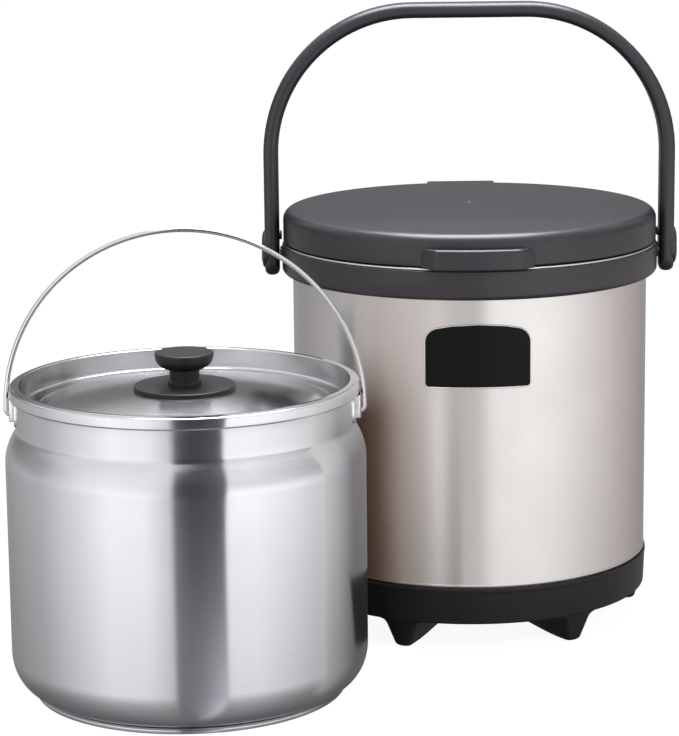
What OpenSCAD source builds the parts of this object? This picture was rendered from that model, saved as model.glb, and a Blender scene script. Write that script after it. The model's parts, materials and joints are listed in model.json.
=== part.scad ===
// Thermal cooker: a double-walled vacuum container with a hinged lid and a swinging carry handle,
// and the lidded steel pot that stands beside it and fits inside it.
// Millimetres, +Z up. The container's axis is the Z axis and the floor is z = 0.
// The front, with the lift tab, faces -Y; the lid hinge is at +Y; the carry handle swings about X.

/* [Container] */
// Diameter of the steel body
body_d = 250; // [200:1:320]
// Height of the steel band that shows between base and collar
body_h = 199.4; // [150:0.1:300]
// Thickness of the steel sheet of both shells
shell_t = 0.8; // [0.5:0.1:1.2]
// Vacuum gap between the walls of the two shells
vacuum_gap = 4; // [2.5:0.1:8]
// Vacuum gap between the floors of the two shells
floor_gap = 14.7; // [8:0.1:25]
// Radius between wall and floor of the cavity
cavity_corner = 6; // [5:0.5:12]
// Thickness of the reflecting foil wrapped round the inner shell
foil_t = 0.2; // [0.1:0.05:0.4]

/* [Base] */
// Height of the plastic base above its feet
base_h = 26; // [18:0.5:40]
// Thickness of the base's wall at its top edge
base_wall = 3.5; // [3:0.1:6]
// How far the base stands proud of the steel body
base_proud = 1; // [0.3:0.1:3]
// How much the base draws in from its top edge to its lower edge
base_taper = 1; // [0:0.1:2.5]
// Thickness of the base's floor
base_floor = 3; // [2:0.1:5]
// Thickness of the soft ring between base and vessel
cushion_t = 2.5; // [1.5:0.1:5]
// Height of the feet
foot_h = 20; // [10:0.5:30]
// Width of a foot where it stands
foot_w = 11; // [8:0.5:20]
// Length of a foot's rib from the base's edge inwards
foot_len = 58; // [40:1:75]
// Length of the part of a foot that stands on the floor
foot_pad = 12; // [8:0.5:20]
// Rise of a foot's lower edge from its pad to its inner end
foot_rise = 5; // [2:0.5:9]
// How much a foot's outer face draws in towards the floor
foot_draw = 4.5; // [1:0.5:6]
// How far the feet stay back from the base's lower edge
foot_back = 0.5; // [0.3:0.1:4]
// Run of a foot's flanks from the floor to the base
foot_flank = 7; // [3:0.5:12]
// Turn of the ring of feet about the container's axis, degrees
foot_turn = 4.5; // [-15:0.5:15]

/* [Collar] */
// Height of the plastic collar
collar_h = 20.2; // [18:0.1:30]
// How far the collar stands proud of the steel body
collar_proud = 7.4; // [6:0.1:14]
// Thickness of the steel lip on top of the collar
lip_t = 1.6; // [1:0.1:3]
// How far the lip stays back from the collar's outer face
lip_back = 2; // [0.3:0.1:3]

/* [Lid] */
// Gap between the steel lip and the closed lid
lid_gap = 1.1; // [0.6:0.1:3]
// How far the lid stays back from the collar's outer face
lid_back = 0.9; // [0.3:0.1:3]
// Height of the lid's edge
lid_edge_h = 21.7; // [18:0.1:35]
// Rounding of the lid's upper edge
lid_round = 7; // [3:0.5:12]
// Rise of the lid's crown above its edge
lid_crown = 3.3; // [1:0.1:10]
// Wall thickness of the lid's cover and liner
lid_t = 2.5; // [1.5:0.1:3.5]
// Width of the front lift tab
tab_w = 75; // [40:1:110]
// Height of the front lift tab
tab_h = 13; // [8:0.5:16]
// How far the lift tab stands out from the lid
tab_out = 7; // [4:0.5:12]

/* [Lid hinge] */
// Width of the hinge bracket on the lid
hinge_w = 50; // [36:1:80]
// Width of the hinge lug on the collar
lug_w = 20; // [12:1:26]
// Radius of the hinge knuckles
knuckle_r = 6.4; // [5:0.1:9]
// Diameter of the hinge pin
hinge_pin_d = 5; // [3:0.1:6]
// Height of the hinge pin's axis below the collar's top
hinge_drop = 1.6; // [0.5:0.1:4]

/* [Carry handle] */
// Height from the pivot to the top of the grip
bow_h = 175.6; // [165:0.1:240]
// Thickness of the bow
bow_t = 10.4; // [9:0.1:18]
// Depth of the bow from front to back
bow_depth = 20; // [14:0.5:26]
// Outer radius of the bow's corners
bow_corner = 105; // [60:1:120]
// How far an arm's rounded end reaches below its pivot
arm_below = 15.3; // [12:0.1:24]
// How far the oval pivot bosses stand out from the arms
boss_out = 2.1; // [1.5:0.1:6]
// Height of a pivot boss's straight part above the pivot
boss_rise = 6.6; // [2:0.1:15]
// Diameter of the pivot pins
pivot_pin_d = 6; // [4:0.1:7]
// Height of the pivots below the collar's top
pivot_drop = 7.6; // [7.2:0.1:12]

/* [Pot] */
// Clearance all round the pot inside the cavity
pot_fit = 2.2; // [1:0.1:8]
// Head room over the knob when the pot is inside
head_room = 4; // [1:0.1:15]
// Thickness of the pot's sheet
pot_t = 0.8; // [0.5:0.1:1.5]
// Radius between the pot's wall and its floor
pot_corner = 18; // [8:0.5:25]
// Thickness of the disc under the pot
pot_disc_t = 4.5; // [3:0.1:8]
// How far the neck is drawn in from the wall
neck_in = 7.7; // [5.7:0.1:12]
// Height of the curve between wall and neck
shoulder_h = 21; // [14:0.5:35]
// Height of the straight neck under the rim band
neck_h = 26.8; // [24:0.1:45]
// Height of the rim band
rim_h = 7.5; // [5:0.1:12]
// How far the rim band stands out from the neck
rim_out = 3.7; // [2:0.1:4.2]

/* [Bail] */
// Diameter of the bail's wire
wire_d = 3.2; // [2:0.1:4]
// Distance from the neck to the face of a bail bracket
bracket_out = 4.7; // [4.5:0.1:8]
// Width of a bracket's box
bracket_w = 12; // [9:0.5:20]
// Height of a bracket's box
bracket_h = 15; // [12:0.5:20]
// Thickness of the bracket's sheet
bracket_t = 1.2; // [0.8:0.1:1.6]
// Height from the bail's pivot to the start of its arch
bail_leg = 2.5; // [1:0.5:20]

/* [Pot lid] */
// How far the lid's flange stays back from the rim's outer face
flange_back = 2.6; // [1.5:0.1:3.5]
// Depth of the lid's groove below the rim
groove_depth = 12.5; // [8:0.1:16]
// Width of the lid's groove
groove_w = 12; // [6:0.5:25]
// Depth of the lid's raised middle below the rim
middle_depth = 5.2; // [4:0.1:7.5]
// Diameter of the plastic disc under the knob
knob_disc_d = 66.4; // [45:0.2:90]
// Thickness of the plastic disc under the knob
knob_disc_t = 3.4; // [3:0.1:8]
// Diameter of the knob
knob_d = 38.2; // [30:0.2:50]
// Diameter of the knob's neck
knob_neck_d = 19.8; // [14:0.2:26]
// Height of the knob above its disc
knob_h = 21.2; // [16:0.1:30]
// Diameter of the knob's screw
knob_screw_d = 5; // [3:0.1:6]

/* [Badge] */
// Width of the plain badge plate
badge_w = 72.3; // [40:0.1:110]
// Height of the plain badge plate
badge_h = 44.2; // [25:0.1:80]
// Thickness of the plain badge plate
badge_t = 0.5; // [0.3:0.1:1.5]
// Radius of the plain badge plate's lower corners
badge_round = 3.5; // [1:0.5:9]
// Radius of the plain badge plate's upper corners
badge_shoulder = 11; // [3:0.5:12]
// Radius of the plain badge plate's arched upper edge
badge_arch = 150; // [90:1:400]
// Distance from the collar to the badge's upper edge
badge_drop = 16.4; // [5:0.1:60]

/* [Place of the pot] */
// Least gap between the container's collar and the pot
pot_gap = 19; // [12:0.5:80]
// Bearing of the pot from the container's axis, degrees from +X
pot_bearing = 224; // [200:1:250]

/* [Hidden] */
$fn = 240;

// Clearances: a running pin, a piece slipped into another, and two curved faces that pass each other
run_fit = 0.06;
slip_fit = 0.2;
pass_gap = 0.5;
// A cutter reaches this far past the face that it cuts
eps = 1;
arc_steps = 10;

// Radii of the container
body_r = body_d / 2;
cavity_r = body_r - 2 * shell_t - vacuum_gap;
base_r = body_r + base_proud;
skirt_r = base_r - base_wall - slip_fit;
collar_r = body_r + collar_proud;
lip_r = collar_r - lip_back;
lid_r = collar_r - lid_back;

// Heights of the container
base_z = foot_h;
body_z = base_z + base_h;
vessel_z = base_z + base_floor + cushion_t;
cavity_z = vessel_z + 2 * shell_t + floor_gap;
collar_z = body_z + body_h;
collar_top = collar_z + collar_h;
lip_top = collar_top + lip_t;
lid_z = lip_top + lid_gap;
lid_edge_z = lid_z + lid_edge_h;
lid_top = lid_edge_z + lid_crown;
skirt_corner = 6;

// Liner: a plug ring that enters the mouth, round a raised middle that leaves room for the knob
plug_r = cavity_r - 2 * pass_gap;
plug_w = 10;
plug_depth = 5.3;
liner_z = lid_z + 2.2;
liner_r = lid_r - lid_t - slip_fit;
crown_in_z = lid_top - lid_t;

// Hinge of the lid
hinge_z = collar_top - hinge_drop;
hinge_y = collar_r + knuckle_r + 2 * pass_gap;
hinge_pin_r = hinge_pin_d / 2;
bracket_in = 4.5;
bracket_top = lid_edge_z - 4;

// Carry handle
pivot_z = collar_top - pivot_drop;
pivot_boss_r = pivot_pin_d / 2 + 2.3;
pivot_boss_x = collar_r + 1.3;
arm_x = pivot_boss_x + pass_gap;
arm_out_x = arm_x + bow_t;
boss_x = arm_out_x + boss_out;
pivot_pin_r = pivot_pin_d / 2;
pivot_pin_x = body_r + 1.5;
boss_r = bow_depth / 2;
cap_r = boss_r - 3;
cap_t = boss_out - 0.7;
bow_top = pivot_z + bow_h;
bow_edge = 4.5;
nub_r = 3.2;
nub_x = lid_r + 2 * pass_gap;
nub_up = 13.2;

// Pot: its radius follows the cavity, its height the room under the lid
pot_r = cavity_r - pot_fit;
knob_over = knob_h + knob_disc_t - middle_depth;
pot_h = liner_z - cavity_z - head_room - knob_over;
pot_place = collar_r + pot_r + pot_gap;
pot_x = pot_place * cos(pot_bearing);
pot_y = pot_place * sin(pot_bearing);
neck_r = pot_r - neck_in;
rim_r = neck_r + rim_out;
mouth_r = neck_r - pot_t;
rim_z = pot_h - rim_h;
neck_z = rim_z - neck_h;
shoulder_z = neck_z - shoulder_h;
shoulder_bend = 2 * atan(neck_in / shoulder_h);
shoulder_r = shoulder_h / (2 * sin(shoulder_bend));
pot_disc_r = pot_r - pot_corner + 3.2;

// Bail and its brackets
wire_r = wire_d / 2;
bracket_x = neck_r + bracket_out;
bail_r = bracket_x + pass_gap + wire_r;
bail_z = rim_z - 13.3;
bracket_z = bail_z - bracket_h / 2 + 3.5;
plate_w = bracket_w + 8;
plate_h = bracket_h + 4;
arch_z = bail_z + bail_leg;
bail_end_x = neck_r + bracket_t + pass_gap;
plug_over = 1.2;

// Lid of the pot
flange_r = rim_r - flange_back;
dish_r = mouth_r - 2 * pass_gap;
groove_z = pot_h - groove_depth;
middle_z = pot_h - middle_depth;
middle_r = dish_r - groove_w - 5;
knob_z = middle_z + knob_disc_t;
knob_r = knob_d / 2;
knob_neck_r = knob_neck_d / 2;
knob_screw_r = knob_screw_d / 2;
screw_head_r = 2 * knob_screw_r;
screw_head_t = 2.6;
screw_in = 12;

// Points of an arc about a centre, from one angle to another
function arc(c, r, a0, a1) =
    [for (i = [0:arc_steps]) c + r * [cos(a0 + (a1 - a0) * i / arc_steps), sin(a0 + (a1 - a0) * i / arc_steps)]];

function reversed(pts) = [for (i = [len(pts) - 1:-1:0]) pts[i]];

// A wall of sheet between an outer line and the same line moved inwards
module sheet(outer, inner) {
    rotate_extrude()
        polygon(concat(outer, reversed(inner)));
}

// A rectangle with rounded corners, centred
module rounded_rect(w, h, r) {
    square([w - 2 * r, h], center = true);
    square([w, h - 2 * r], center = true);
    for (x = [-1, 1], y = [-1, 1])
        translate([x * (w / 2 - r), y * (h / 2 - r)])
            circle(r);
}

// A rod along X from x0 to x1 at height z and depth y
module rod_x(x0, x1, r, y = 0, z = 0) {
    translate([x0, y, z])
        rotate([0, 90, 0])
            cylinder(r = r, h = x1 - x0);
}

module both_sides() {
    for (side = [0, 1])
        mirror([side, 0, 0])
            children();
}

module at_pot() {
    translate([pot_x, pot_y, 0])
        children();
}

// One foot under the base at a bearing: a rib with sloping flanks that runs inwards from the base's edge
module foot(bearing) {
    out_r = base_r - base_taper - foot_back;
    in_r = out_r - foot_len;
    pad_r = out_r - foot_draw;
    root_z = base_z + base_floor / 2;
    top_w = foot_w / 2 + foot_flank;
    rotate(bearing)
        intersection() {
            rotate_extrude()
                polygon([
                    [in_r, root_z], [in_r, base_z], [in_r + foot_rise, foot_rise],
                    [pad_r - foot_pad, 0], [pad_r, 0], [out_r, base_z], [out_r, root_z]
                ]);
            rotate([90, 0, 90])
                linear_extrude(out_r + eps)
                    polygon([
                        [-foot_w / 2, 0], [foot_w / 2, 0], [top_w, base_z],
                        [top_w, root_z], [-top_w, root_z], [-top_w, base_z]
                    ]);
        }
}

module base() {
    color("#2f2d31") {
        rotate_extrude()
            polygon([
                [0, base_z], [base_r - base_taper, base_z], [base_r, body_z],
                [base_r - base_wall, body_z], [base_r - base_wall, base_z + base_floor], [0, base_z + base_floor]
            ]);
        for (i = [0:5])
            foot(60 * i + foot_turn);
    }
}

module base_cushion() {
    ring_out = skirt_r - skirt_corner - 4;
    ring_w = 40;
    color("#55534f")
        translate([0, 0, base_z + base_floor])
            difference() {
                cylinder(r = ring_out, h = cushion_t);
                translate([0, 0, -eps])
                    cylinder(r = ring_out - ring_w, h = cushion_t + 2 * eps);
            }
}

// Outline of the outer shell, moved inwards by a sheet's thickness t
function outer_line(t) = concat(
    [[0, vessel_z + t]],
    arc([skirt_r - skirt_corner, vessel_z + skirt_corner], skirt_corner - t, -90, 0),
    [[skirt_r - t, body_z + t], [body_r - t, body_z + t], [body_r - t, collar_top]]
);

module outer_shell() {
    color("#b9b4ae")
        sheet(outer_line(0), outer_line(shell_t));
}

module inner_wall() {
    wall_z = cavity_z + cavity_corner;
    color("#cfcdca")
        translate([0, 0, wall_z])
            difference() {
                cylinder(r = cavity_r + shell_t, h = collar_top - wall_z);
                translate([0, 0, -eps])
                    cylinder(r = cavity_r, h = collar_top - wall_z + 2 * eps);
            }
}

// Outline of the cavity's floor and its rounded edge, moved outwards by a sheet's thickness t
function floor_line(t) = concat(
    [[0, cavity_z - t]],
    arc([cavity_r - cavity_corner, cavity_z + cavity_corner], cavity_corner + t, -90, 0)
);

module inner_floor() {
    color("#cfcdca")
        sheet(floor_line(shell_t), floor_line(0));
}

// The steel ring that joins the two shells at the mouth and shows as a lip on top of the collar
module mouth_ring() {
    edge_r = lip_r - lip_t / 2;
    color("#cfcdca")
        rotate_extrude() {
            translate([cavity_r, collar_top])
                square([edge_r - cavity_r, lip_t]);
            translate([edge_r, collar_top + lip_t / 2])
                circle(lip_t / 2);
        }
}

module radiation_foil() {
    foil_r = cavity_r + shell_t;
    foil_z = cavity_z + cavity_corner;
    color("#c98a5a")
        translate([0, 0, foil_z])
            difference() {
                cylinder(r = foil_r + foil_t, h = collar_z - foil_z);
                translate([0, 0, -eps])
                    cylinder(r = foil_r, h = collar_z - foil_z + 2 * eps);
            }
}

module vacuum_port_cap() {
    cap_radius = 12;
    color("#9a9896")
        translate([0, 0, vessel_z - cushion_t / 2])
            cylinder(r = cap_radius, h = cushion_t / 2);
}

module collar() {
    round_r = collar_proud - slip_fit;
    color("#3a383d")
        difference() {
            union() {
                rotate_extrude()
                    polygon(concat(
                        [[body_r, collar_z]],
                        arc([collar_r - round_r, collar_z + round_r], round_r, -90, 0),
                        [[collar_r, collar_top], [body_r, collar_top]]
                    ));
                both_sides()
                    rod_x(pivot_pin_x, pivot_boss_x, pivot_boss_r, 0, pivot_z);
                rod_x(-lug_w / 2, lug_w / 2, knuckle_r, hinge_y, hinge_z);
                difference() {
                    translate([-lug_w / 2, body_r + eps, hinge_z - knuckle_r])
                        cube([lug_w, hinge_y - body_r - eps, knuckle_r]);
                    translate([0, 0, collar_z])
                        cylinder(r = body_r, h = 2 * collar_h);
                }
            }
            rod_x(-lug_w, lug_w, hinge_pin_r + run_fit / 3, hinge_y, hinge_z);
            both_sides()
                rod_x(pivot_pin_x, pivot_boss_x + eps, pivot_pin_r + run_fit / 3, 0, pivot_z);
        }
}

// Outline of the badge plate: rounded below, arched above
module badge_outline() {
    half_w = badge_w / 2;
    half_h = badge_h / 2;
    low = [half_w - badge_round, badge_round - half_h];
    high = [half_w - badge_shoulder, half_h - badge_shoulder];
    intersection() {
        polygon(concat(
            arc(low, badge_round, -90, 0), arc(high, badge_shoulder, 0, 90),
            arc([-high[0], high[1]], badge_shoulder, 90, 180), arc([-low[0], low[1]], badge_round, 180, 270)
        ));
        translate([0, half_h - badge_arch])
            circle(badge_arch);
    }
}

module badge_plate() {
    badge_z = collar_z - badge_drop - badge_h / 2;
    color("#151416")
        intersection() {
            difference() {
                translate([0, 0, body_z])
                    cylinder(r = body_r + badge_t, h = body_h);
                translate([0, 0, body_z - eps])
                    cylinder(r = body_r, h = body_h + 2 * eps);
            }
            translate([0, 0, badge_z])
                rotate([90, 0, 0])
                    linear_extrude(body_r + 2 * eps)
                        badge_outline();
        }
}

module hinge_pin() {
    color("#a9a8a6")
        rod_x(1 - hinge_w / 2, hinge_w / 2 - 1, hinge_pin_r, hinge_y, hinge_z);
}

module handle_pivot_pins() {
    color("#a9a8a6")
        both_sides()
            rod_x(pivot_pin_x, boss_x - cap_t - slip_fit, pivot_pin_r, 0, pivot_z);
}

// Section of the lid's cover from its axis to its edge, moved inwards by t; z0 is its lower edge
module lid_half(t, z0) {
    edge_r = lid_r - t;
    round_r = lid_round - t / 2;
    crown_r = edge_r - round_r;
    dome_r = (crown_r * crown_r + lid_crown * lid_crown) / (2 * lid_crown);
    bend = asin(crown_r / dome_r);
    polygon(concat(
        [[0, z0], [edge_r, z0]],
        arc([edge_r - round_r, lid_edge_z - t - round_r], round_r, 0, 90),
        reversed(arc([0, lid_top - t - dome_r], dome_r, 90, 90 - bend))
    ));
}

// The lift tab: a rounded bar that follows the lid's edge and reaches down over the steel lip
module lift_tab() {
    tab_r = lid_r + tab_out;
    tab_in = 2 * lid_t;
    tab_z = lid_z - 0.5;
    skirt_in = lip_r + 2 * pass_gap;
    skirt_z = lip_top - 0.3;
    tab_round = min(tab_out, tab_h) / 3;
    tab_corner = 4;
    view_h = 2 * tab_h;
    intersection() {
        rotate_extrude() {
            translate([lid_r - tab_in, tab_z])
                square([tab_in + tab_out - tab_round, tab_h]);
            translate([lid_r - tab_in, tab_z])
                square([tab_in + tab_out, tab_h - tab_round]);
            translate([skirt_in, skirt_z])
                square([tab_r - skirt_in, tab_h / 2]);
            translate([tab_r - tab_round, tab_z + tab_h - tab_round])
                circle(tab_round);
        }
        translate([0, -lid_r, skirt_z - eps])
            linear_extrude(tab_h + 3 * eps)
                rounded_rect(tab_w, 2 * (tab_out + tab_in), tab_out - eps);
        translate([0, 0, tab_z + tab_h - view_h / 2])
            rotate([90, 0, 0])
                linear_extrude(tab_r + eps)
                    rounded_rect(tab_w, view_h, tab_corner);
    }
}

// The bracket of the lid's hinge, seen from the side, with its knuckle
module hinge_side() {
    front_y = lid_r - bracket_in;
    polygon([
        [front_y, lid_z], [hinge_y - knuckle_r, lid_z], [hinge_y - knuckle_r, hinge_z],
        [hinge_y + knuckle_r, hinge_z], [hinge_y + knuckle_r, lid_z],
        [hinge_y, bracket_top - 4], [lid_r + 2, bracket_top], [front_y, bracket_top]
    ]);
    translate([hinge_y, hinge_z])
        circle(knuckle_r);
}

module lid_cover() {
    slot_w = lug_w + 2 * pass_gap;
    slot_r = knuckle_r + 2 * pass_gap;
    color("#454348")
        difference() {
            union() {
                rotate_extrude()
                    lid_half(0, lid_z);
                difference() {
                    lift_tab();
                    translate([0, 0, lid_z - lid_edge_h])
                        cylinder(r = lid_r - lid_t, h = 2 * lid_edge_h);
                }
                difference() {
                    translate([-hinge_w / 2, 0, 0])
                        rotate([90, 0, 90])
                            linear_extrude(hinge_w)
                                hinge_side();
                    rod_x(-slot_w / 2, slot_w / 2, slot_r, hinge_y, hinge_z);
                    translate([-slot_w / 2, hinge_y - slot_r, hinge_z - slot_r])
                        cube([slot_w, 2 * slot_r, slot_r]);
                    translate([-slot_w / 2, lid_r + eps, lid_z - eps])
                        cube([slot_w, hinge_y - lid_r - eps, hinge_z + slot_r - lid_z + eps]);
                }
            }
            rotate_extrude()
                lid_half(lid_t, lid_z - eps);
            rod_x(0.5 - hinge_w / 2, hinge_w / 2 - 0.5, hinge_pin_r + run_fit, hinge_y, hinge_z);
        }
}

module lid_liner() {
    liner_t = lid_t - 0.5;
    color("#6b696e")
        rotate_extrude()
            polygon([
                [0, liner_z], [plug_r - plug_w, liner_z],
                [plug_r - plug_w, lid_z - plug_depth], [plug_r, lid_z - plug_depth],
                [plug_r, lid_z], [liner_r, lid_z], [liner_r, lid_z + liner_t],
                [plug_r - liner_t, lid_z + liner_t], [plug_r - liner_t, lid_z - plug_depth + liner_t],
                [plug_r - plug_w + liner_t, lid_z - plug_depth + liner_t],
                [plug_r - plug_w + liner_t, liner_z + liner_t], [0, liner_z + liner_t]
            ]);
}

module lid_insulation() {
    color("#efe9d8")
        difference() {
            rotate_extrude()
                lid_half(lid_t + slip_fit, liner_z + lid_t);
            translate([0, 0, lid_z - eps])
                difference() {
                    cylinder(r = lid_r, h = lid_t + eps);
                    translate([0, 0, -eps])
                        cylinder(r = plug_r, h = lid_t + 3 * eps);
                }
        }
}

// Section of the bow, its thickness along X
module bow_section() {
    rounded_rect(bow_t, bow_depth, bow_edge);
}

// The rounded lower end of an arm, as a disc about X that carries on the bow's section
module arm_end() {
    rotate([0, 90, 0])
        rotate_extrude()
            intersection() {
                rounded_rect(bow_depth, bow_t, bow_edge);
                translate([0, -bow_t])
                    square([bow_depth, 2 * bow_t]);
            }
}

module carry_handle() {
    mid_x = arm_x + bow_t / 2;
    end_z = pivot_z - arm_below + bow_depth / 2;
    turn_r = bow_corner - bow_t / 2;
    turn_x = arm_out_x - bow_corner;
    turn_z = bow_top - bow_corner;
    color("#3f3d43")
        difference() {
            union() {
                both_sides() {
                    translate([mid_x, 0, end_z])
                        arm_end();
                    translate([mid_x, 0, end_z])
                        linear_extrude(turn_z - end_z)
                            bow_section();
                    translate([turn_x, 0, turn_z])
                        rotate([90, 0, 0])
                            rotate_extrude(angle = 90)
                                translate([turn_r, 0])
                                    bow_section();
                    rod_x(mid_x, boss_x, boss_r, 0, pivot_z);
                    rod_x(mid_x, boss_x, boss_r, 0, pivot_z + boss_rise);
                    translate([mid_x, -boss_r, pivot_z])
                        cube([boss_x - mid_x, 2 * boss_r, boss_rise]);
                    rod_x(nub_x, arm_x + eps, nub_r, 0, pivot_z + nub_up);
                }
                translate([-turn_x, 0, bow_top - bow_t / 2])
                    rotate([0, 90, 0])
                        linear_extrude(2 * turn_x)
                            bow_section();
            }
            both_sides() {
                rod_x(arm_x - eps, boss_x, pivot_pin_r + run_fit, 0, pivot_z);
                rod_x(boss_x - cap_t, boss_x + eps, cap_r + slip_fit / 2, 0, pivot_z);
            }
        }
}

module handle_caps() {
    color("#39373c")
        both_sides()
            rod_x(boss_x - cap_t, boss_x, cap_r, 0, pivot_z);
}

// Outline of the pot from the middle of its floor to its rim, moved inwards by t
function pot_line(t) = concat(
    [[0, pot_disc_t + t]],
    arc([pot_r - pot_corner, pot_disc_t + pot_corner], pot_corner - t, -90, 0),
    arc([pot_r - shoulder_r, shoulder_z], shoulder_r - t, 0, shoulder_bend),
    reversed(arc([neck_r + shoulder_r, neck_z], shoulder_r + t, 180, 180 + shoulder_bend)),
    [[neck_r - t, rim_z + rim_h / 2]]
);

module pot_body() {
    rim_round = 1.5;
    rim_w = rim_r - mouth_r;
    color("#c6c8ca")
        at_pot() {
            sheet(pot_line(0), pot_line(pot_t));
            rotate_extrude()
                translate([mouth_r + rim_w / 2, rim_z + rim_h / 2])
                    rounded_rect(rim_w, rim_h, rim_round);
        }
}

module pot_base_disc() {
    edge = 1.5;
    color("#b4b5b6")
        at_pot()
            rotate_extrude()
                polygon([
                    [0, 0], [pot_disc_r - edge, 0], [pot_disc_r, edge],
                    [pot_disc_r, pot_disc_t - edge / 2], [pot_r - pot_corner, pot_disc_t], [0, pot_disc_t]
                ]);
}

// A bracket on the pot's right side: a plate welded to the neck and an open-topped box that takes the bail's end
module bail_bracket() {
    back_r = neck_r + bracket_t;
    difference() {
        union() {
            intersection() {
                difference() {
                    translate([0, 0, neck_z])
                        cylinder(r = back_r, h = neck_h);
                    translate([0, 0, neck_z - eps])
                        cylinder(r = neck_r, h = neck_h + 2 * eps);
                }
                translate([0, 0, bracket_z + bracket_h / 2])
                    rotate([90, 0, 90])
                        linear_extrude(back_r + eps)
                            rounded_rect(plate_w, plate_h, 3);
            }
            difference() {
                translate([0, -bracket_w / 2, bracket_z])
                    cube([bracket_x, bracket_w, bracket_h]);
                translate([0, 0, bracket_z - eps])
                    cylinder(r = neck_r + bracket_t / 2, h = bracket_h + 2 * eps);
                translate([0, bracket_t - bracket_w / 2, bracket_z + bracket_t])
                    cube([bracket_x - bracket_t, bracket_w - 2 * bracket_t, bracket_h]);
            }
        }
        rod_x(back_r, bracket_x + eps, wire_r + run_fit, 0, bail_z);
    }
}

module bail_bracket_right() {
    color("#c4c6c8")
        at_pot()
            bail_bracket();
}

module bail_bracket_left() {
    color("#c4c6c8")
        at_pot()
            mirror([1, 0, 0])
                bail_bracket();
}

module bracket_plugs() {
    plug_box_w = bracket_w - 2 * bracket_t - slip_fit;
    plug_z = bracket_z + bracket_t;
    color("#1d1c1e")
        at_pot()
            both_sides()
                difference() {
                    translate([0, -plug_box_w / 2, plug_z])
                        cube([bracket_x - bracket_t - slip_fit / 2, plug_box_w, bracket_h - bracket_t + plug_over]);
                    translate([0, 0, plug_z - eps])
                        cylinder(r = neck_r + bracket_t, h = bracket_h + 2 * eps + plug_over);
                    rod_x(0, bracket_x, wire_r + pass_gap, 0, bail_z);
                }
}

module pot_bail() {
    color("#d2d4d6")
        at_pot() {
            translate([0, 0, arch_z])
                rotate([90, 0, 0])
                    rotate_extrude(angle = 180)
                        translate([bail_r, 0])
                            circle(wire_r);
            both_sides() {
                translate([bail_r, 0, bail_z])
                    cylinder(r = wire_r, h = bail_leg);
                translate([bail_r, 0, bail_z])
                    sphere(wire_r);
                rod_x(bail_end_x, bail_r, wire_r, 0, bail_z);
            }
        }
}

module pot_lid() {
    slope = pot_t / 2;
    bore_r = knob_screw_r + slip_fit;
    seat_r = knob_disc_d / 2 + 2;
    step_z = middle_z - 1.9;
    color("#c2c4c6")
        at_pot()
            rotate_extrude()
                polygon([
                    [bore_r, middle_z], [seat_r, middle_z], [middle_r, step_z], [dish_r - groove_w, groove_z],
                    [dish_r - pot_t, groove_z], [dish_r - pot_t, pot_h + pot_t], [flange_r, pot_h + pot_t],
                    [flange_r, pot_h], [dish_r, pot_h], [dish_r, groove_z - pot_t],
                    [dish_r - groove_w - slope, groove_z - pot_t], [middle_r - slope, step_z - pot_t],
                    [seat_r - slope, middle_z - pot_t], [bore_r, middle_z - pot_t]
                ]);
}

module knob_disc() {
    disc_r = knob_disc_d / 2;
    disc_round = knob_disc_t / 2;
    bore_r = knob_screw_r + slip_fit;
    color("#232226")
        at_pot()
            rotate_extrude()
                polygon(concat(
                    [[bore_r, middle_z], [disc_r, middle_z]],
                    arc([disc_r - disc_round, knob_z - disc_round], disc_round, 0, 90),
                    [[bore_r, knob_z]]
                ));
}

module knob() {
    under_r = knob_r - knob_neck_r;
    top_round = 1.2;
    dish = 0.8;
    knob_top = knob_z + knob_h;
    screw_r = knob_screw_r + slip_fit;
    screw_top = knob_z + screw_in + slip_fit;
    color("#232226")
        at_pot()
            rotate_extrude()
                polygon(concat(
                    [[screw_r, knob_z], [knob_neck_r, knob_z]],
                    arc([knob_neck_r, knob_top - top_round], under_r, -90, 0),
                    arc([knob_r - top_round, knob_top - top_round], top_round, 0, 90),
                    [[0, knob_top - dish], [0, screw_top], [screw_r, screw_top]]
                ));
}

module knob_screw() {
    head_z = middle_z - pot_t;
    color("#a9a8a6")
        at_pot() {
            translate([0, 0, head_z - screw_head_t])
                cylinder(r = screw_head_r, h = screw_head_t);
            translate([0, 0, head_z - eps])
                cylinder(r = knob_screw_r, h = knob_z + screw_in - head_z + eps);
        }
}

base();
base_cushion();
outer_shell();
inner_wall();
inner_floor();
mouth_ring();
radiation_foil();
vacuum_port_cap();
collar();
badge_plate();
hinge_pin();
handle_pivot_pins();
lid_cover();
lid_liner();
lid_insulation();
carry_handle();
handle_caps();
pot_body();
pot_base_disc();
bail_bracket_left();
bail_bracket_right();
bracket_plugs();
pot_bail();
pot_lid();
knob_disc();
knob();
knob_screw();
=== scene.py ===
"""Looks of a thermal cooker: a container with a hinged lid and a carry handle, beside its lidded pot.

Shapes are written in millimetres about their own axis, and become metres in the frame when a piece is made.
"""

import json
import math

import bmesh
import bpy
from mathutils import Matrix, Vector

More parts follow.
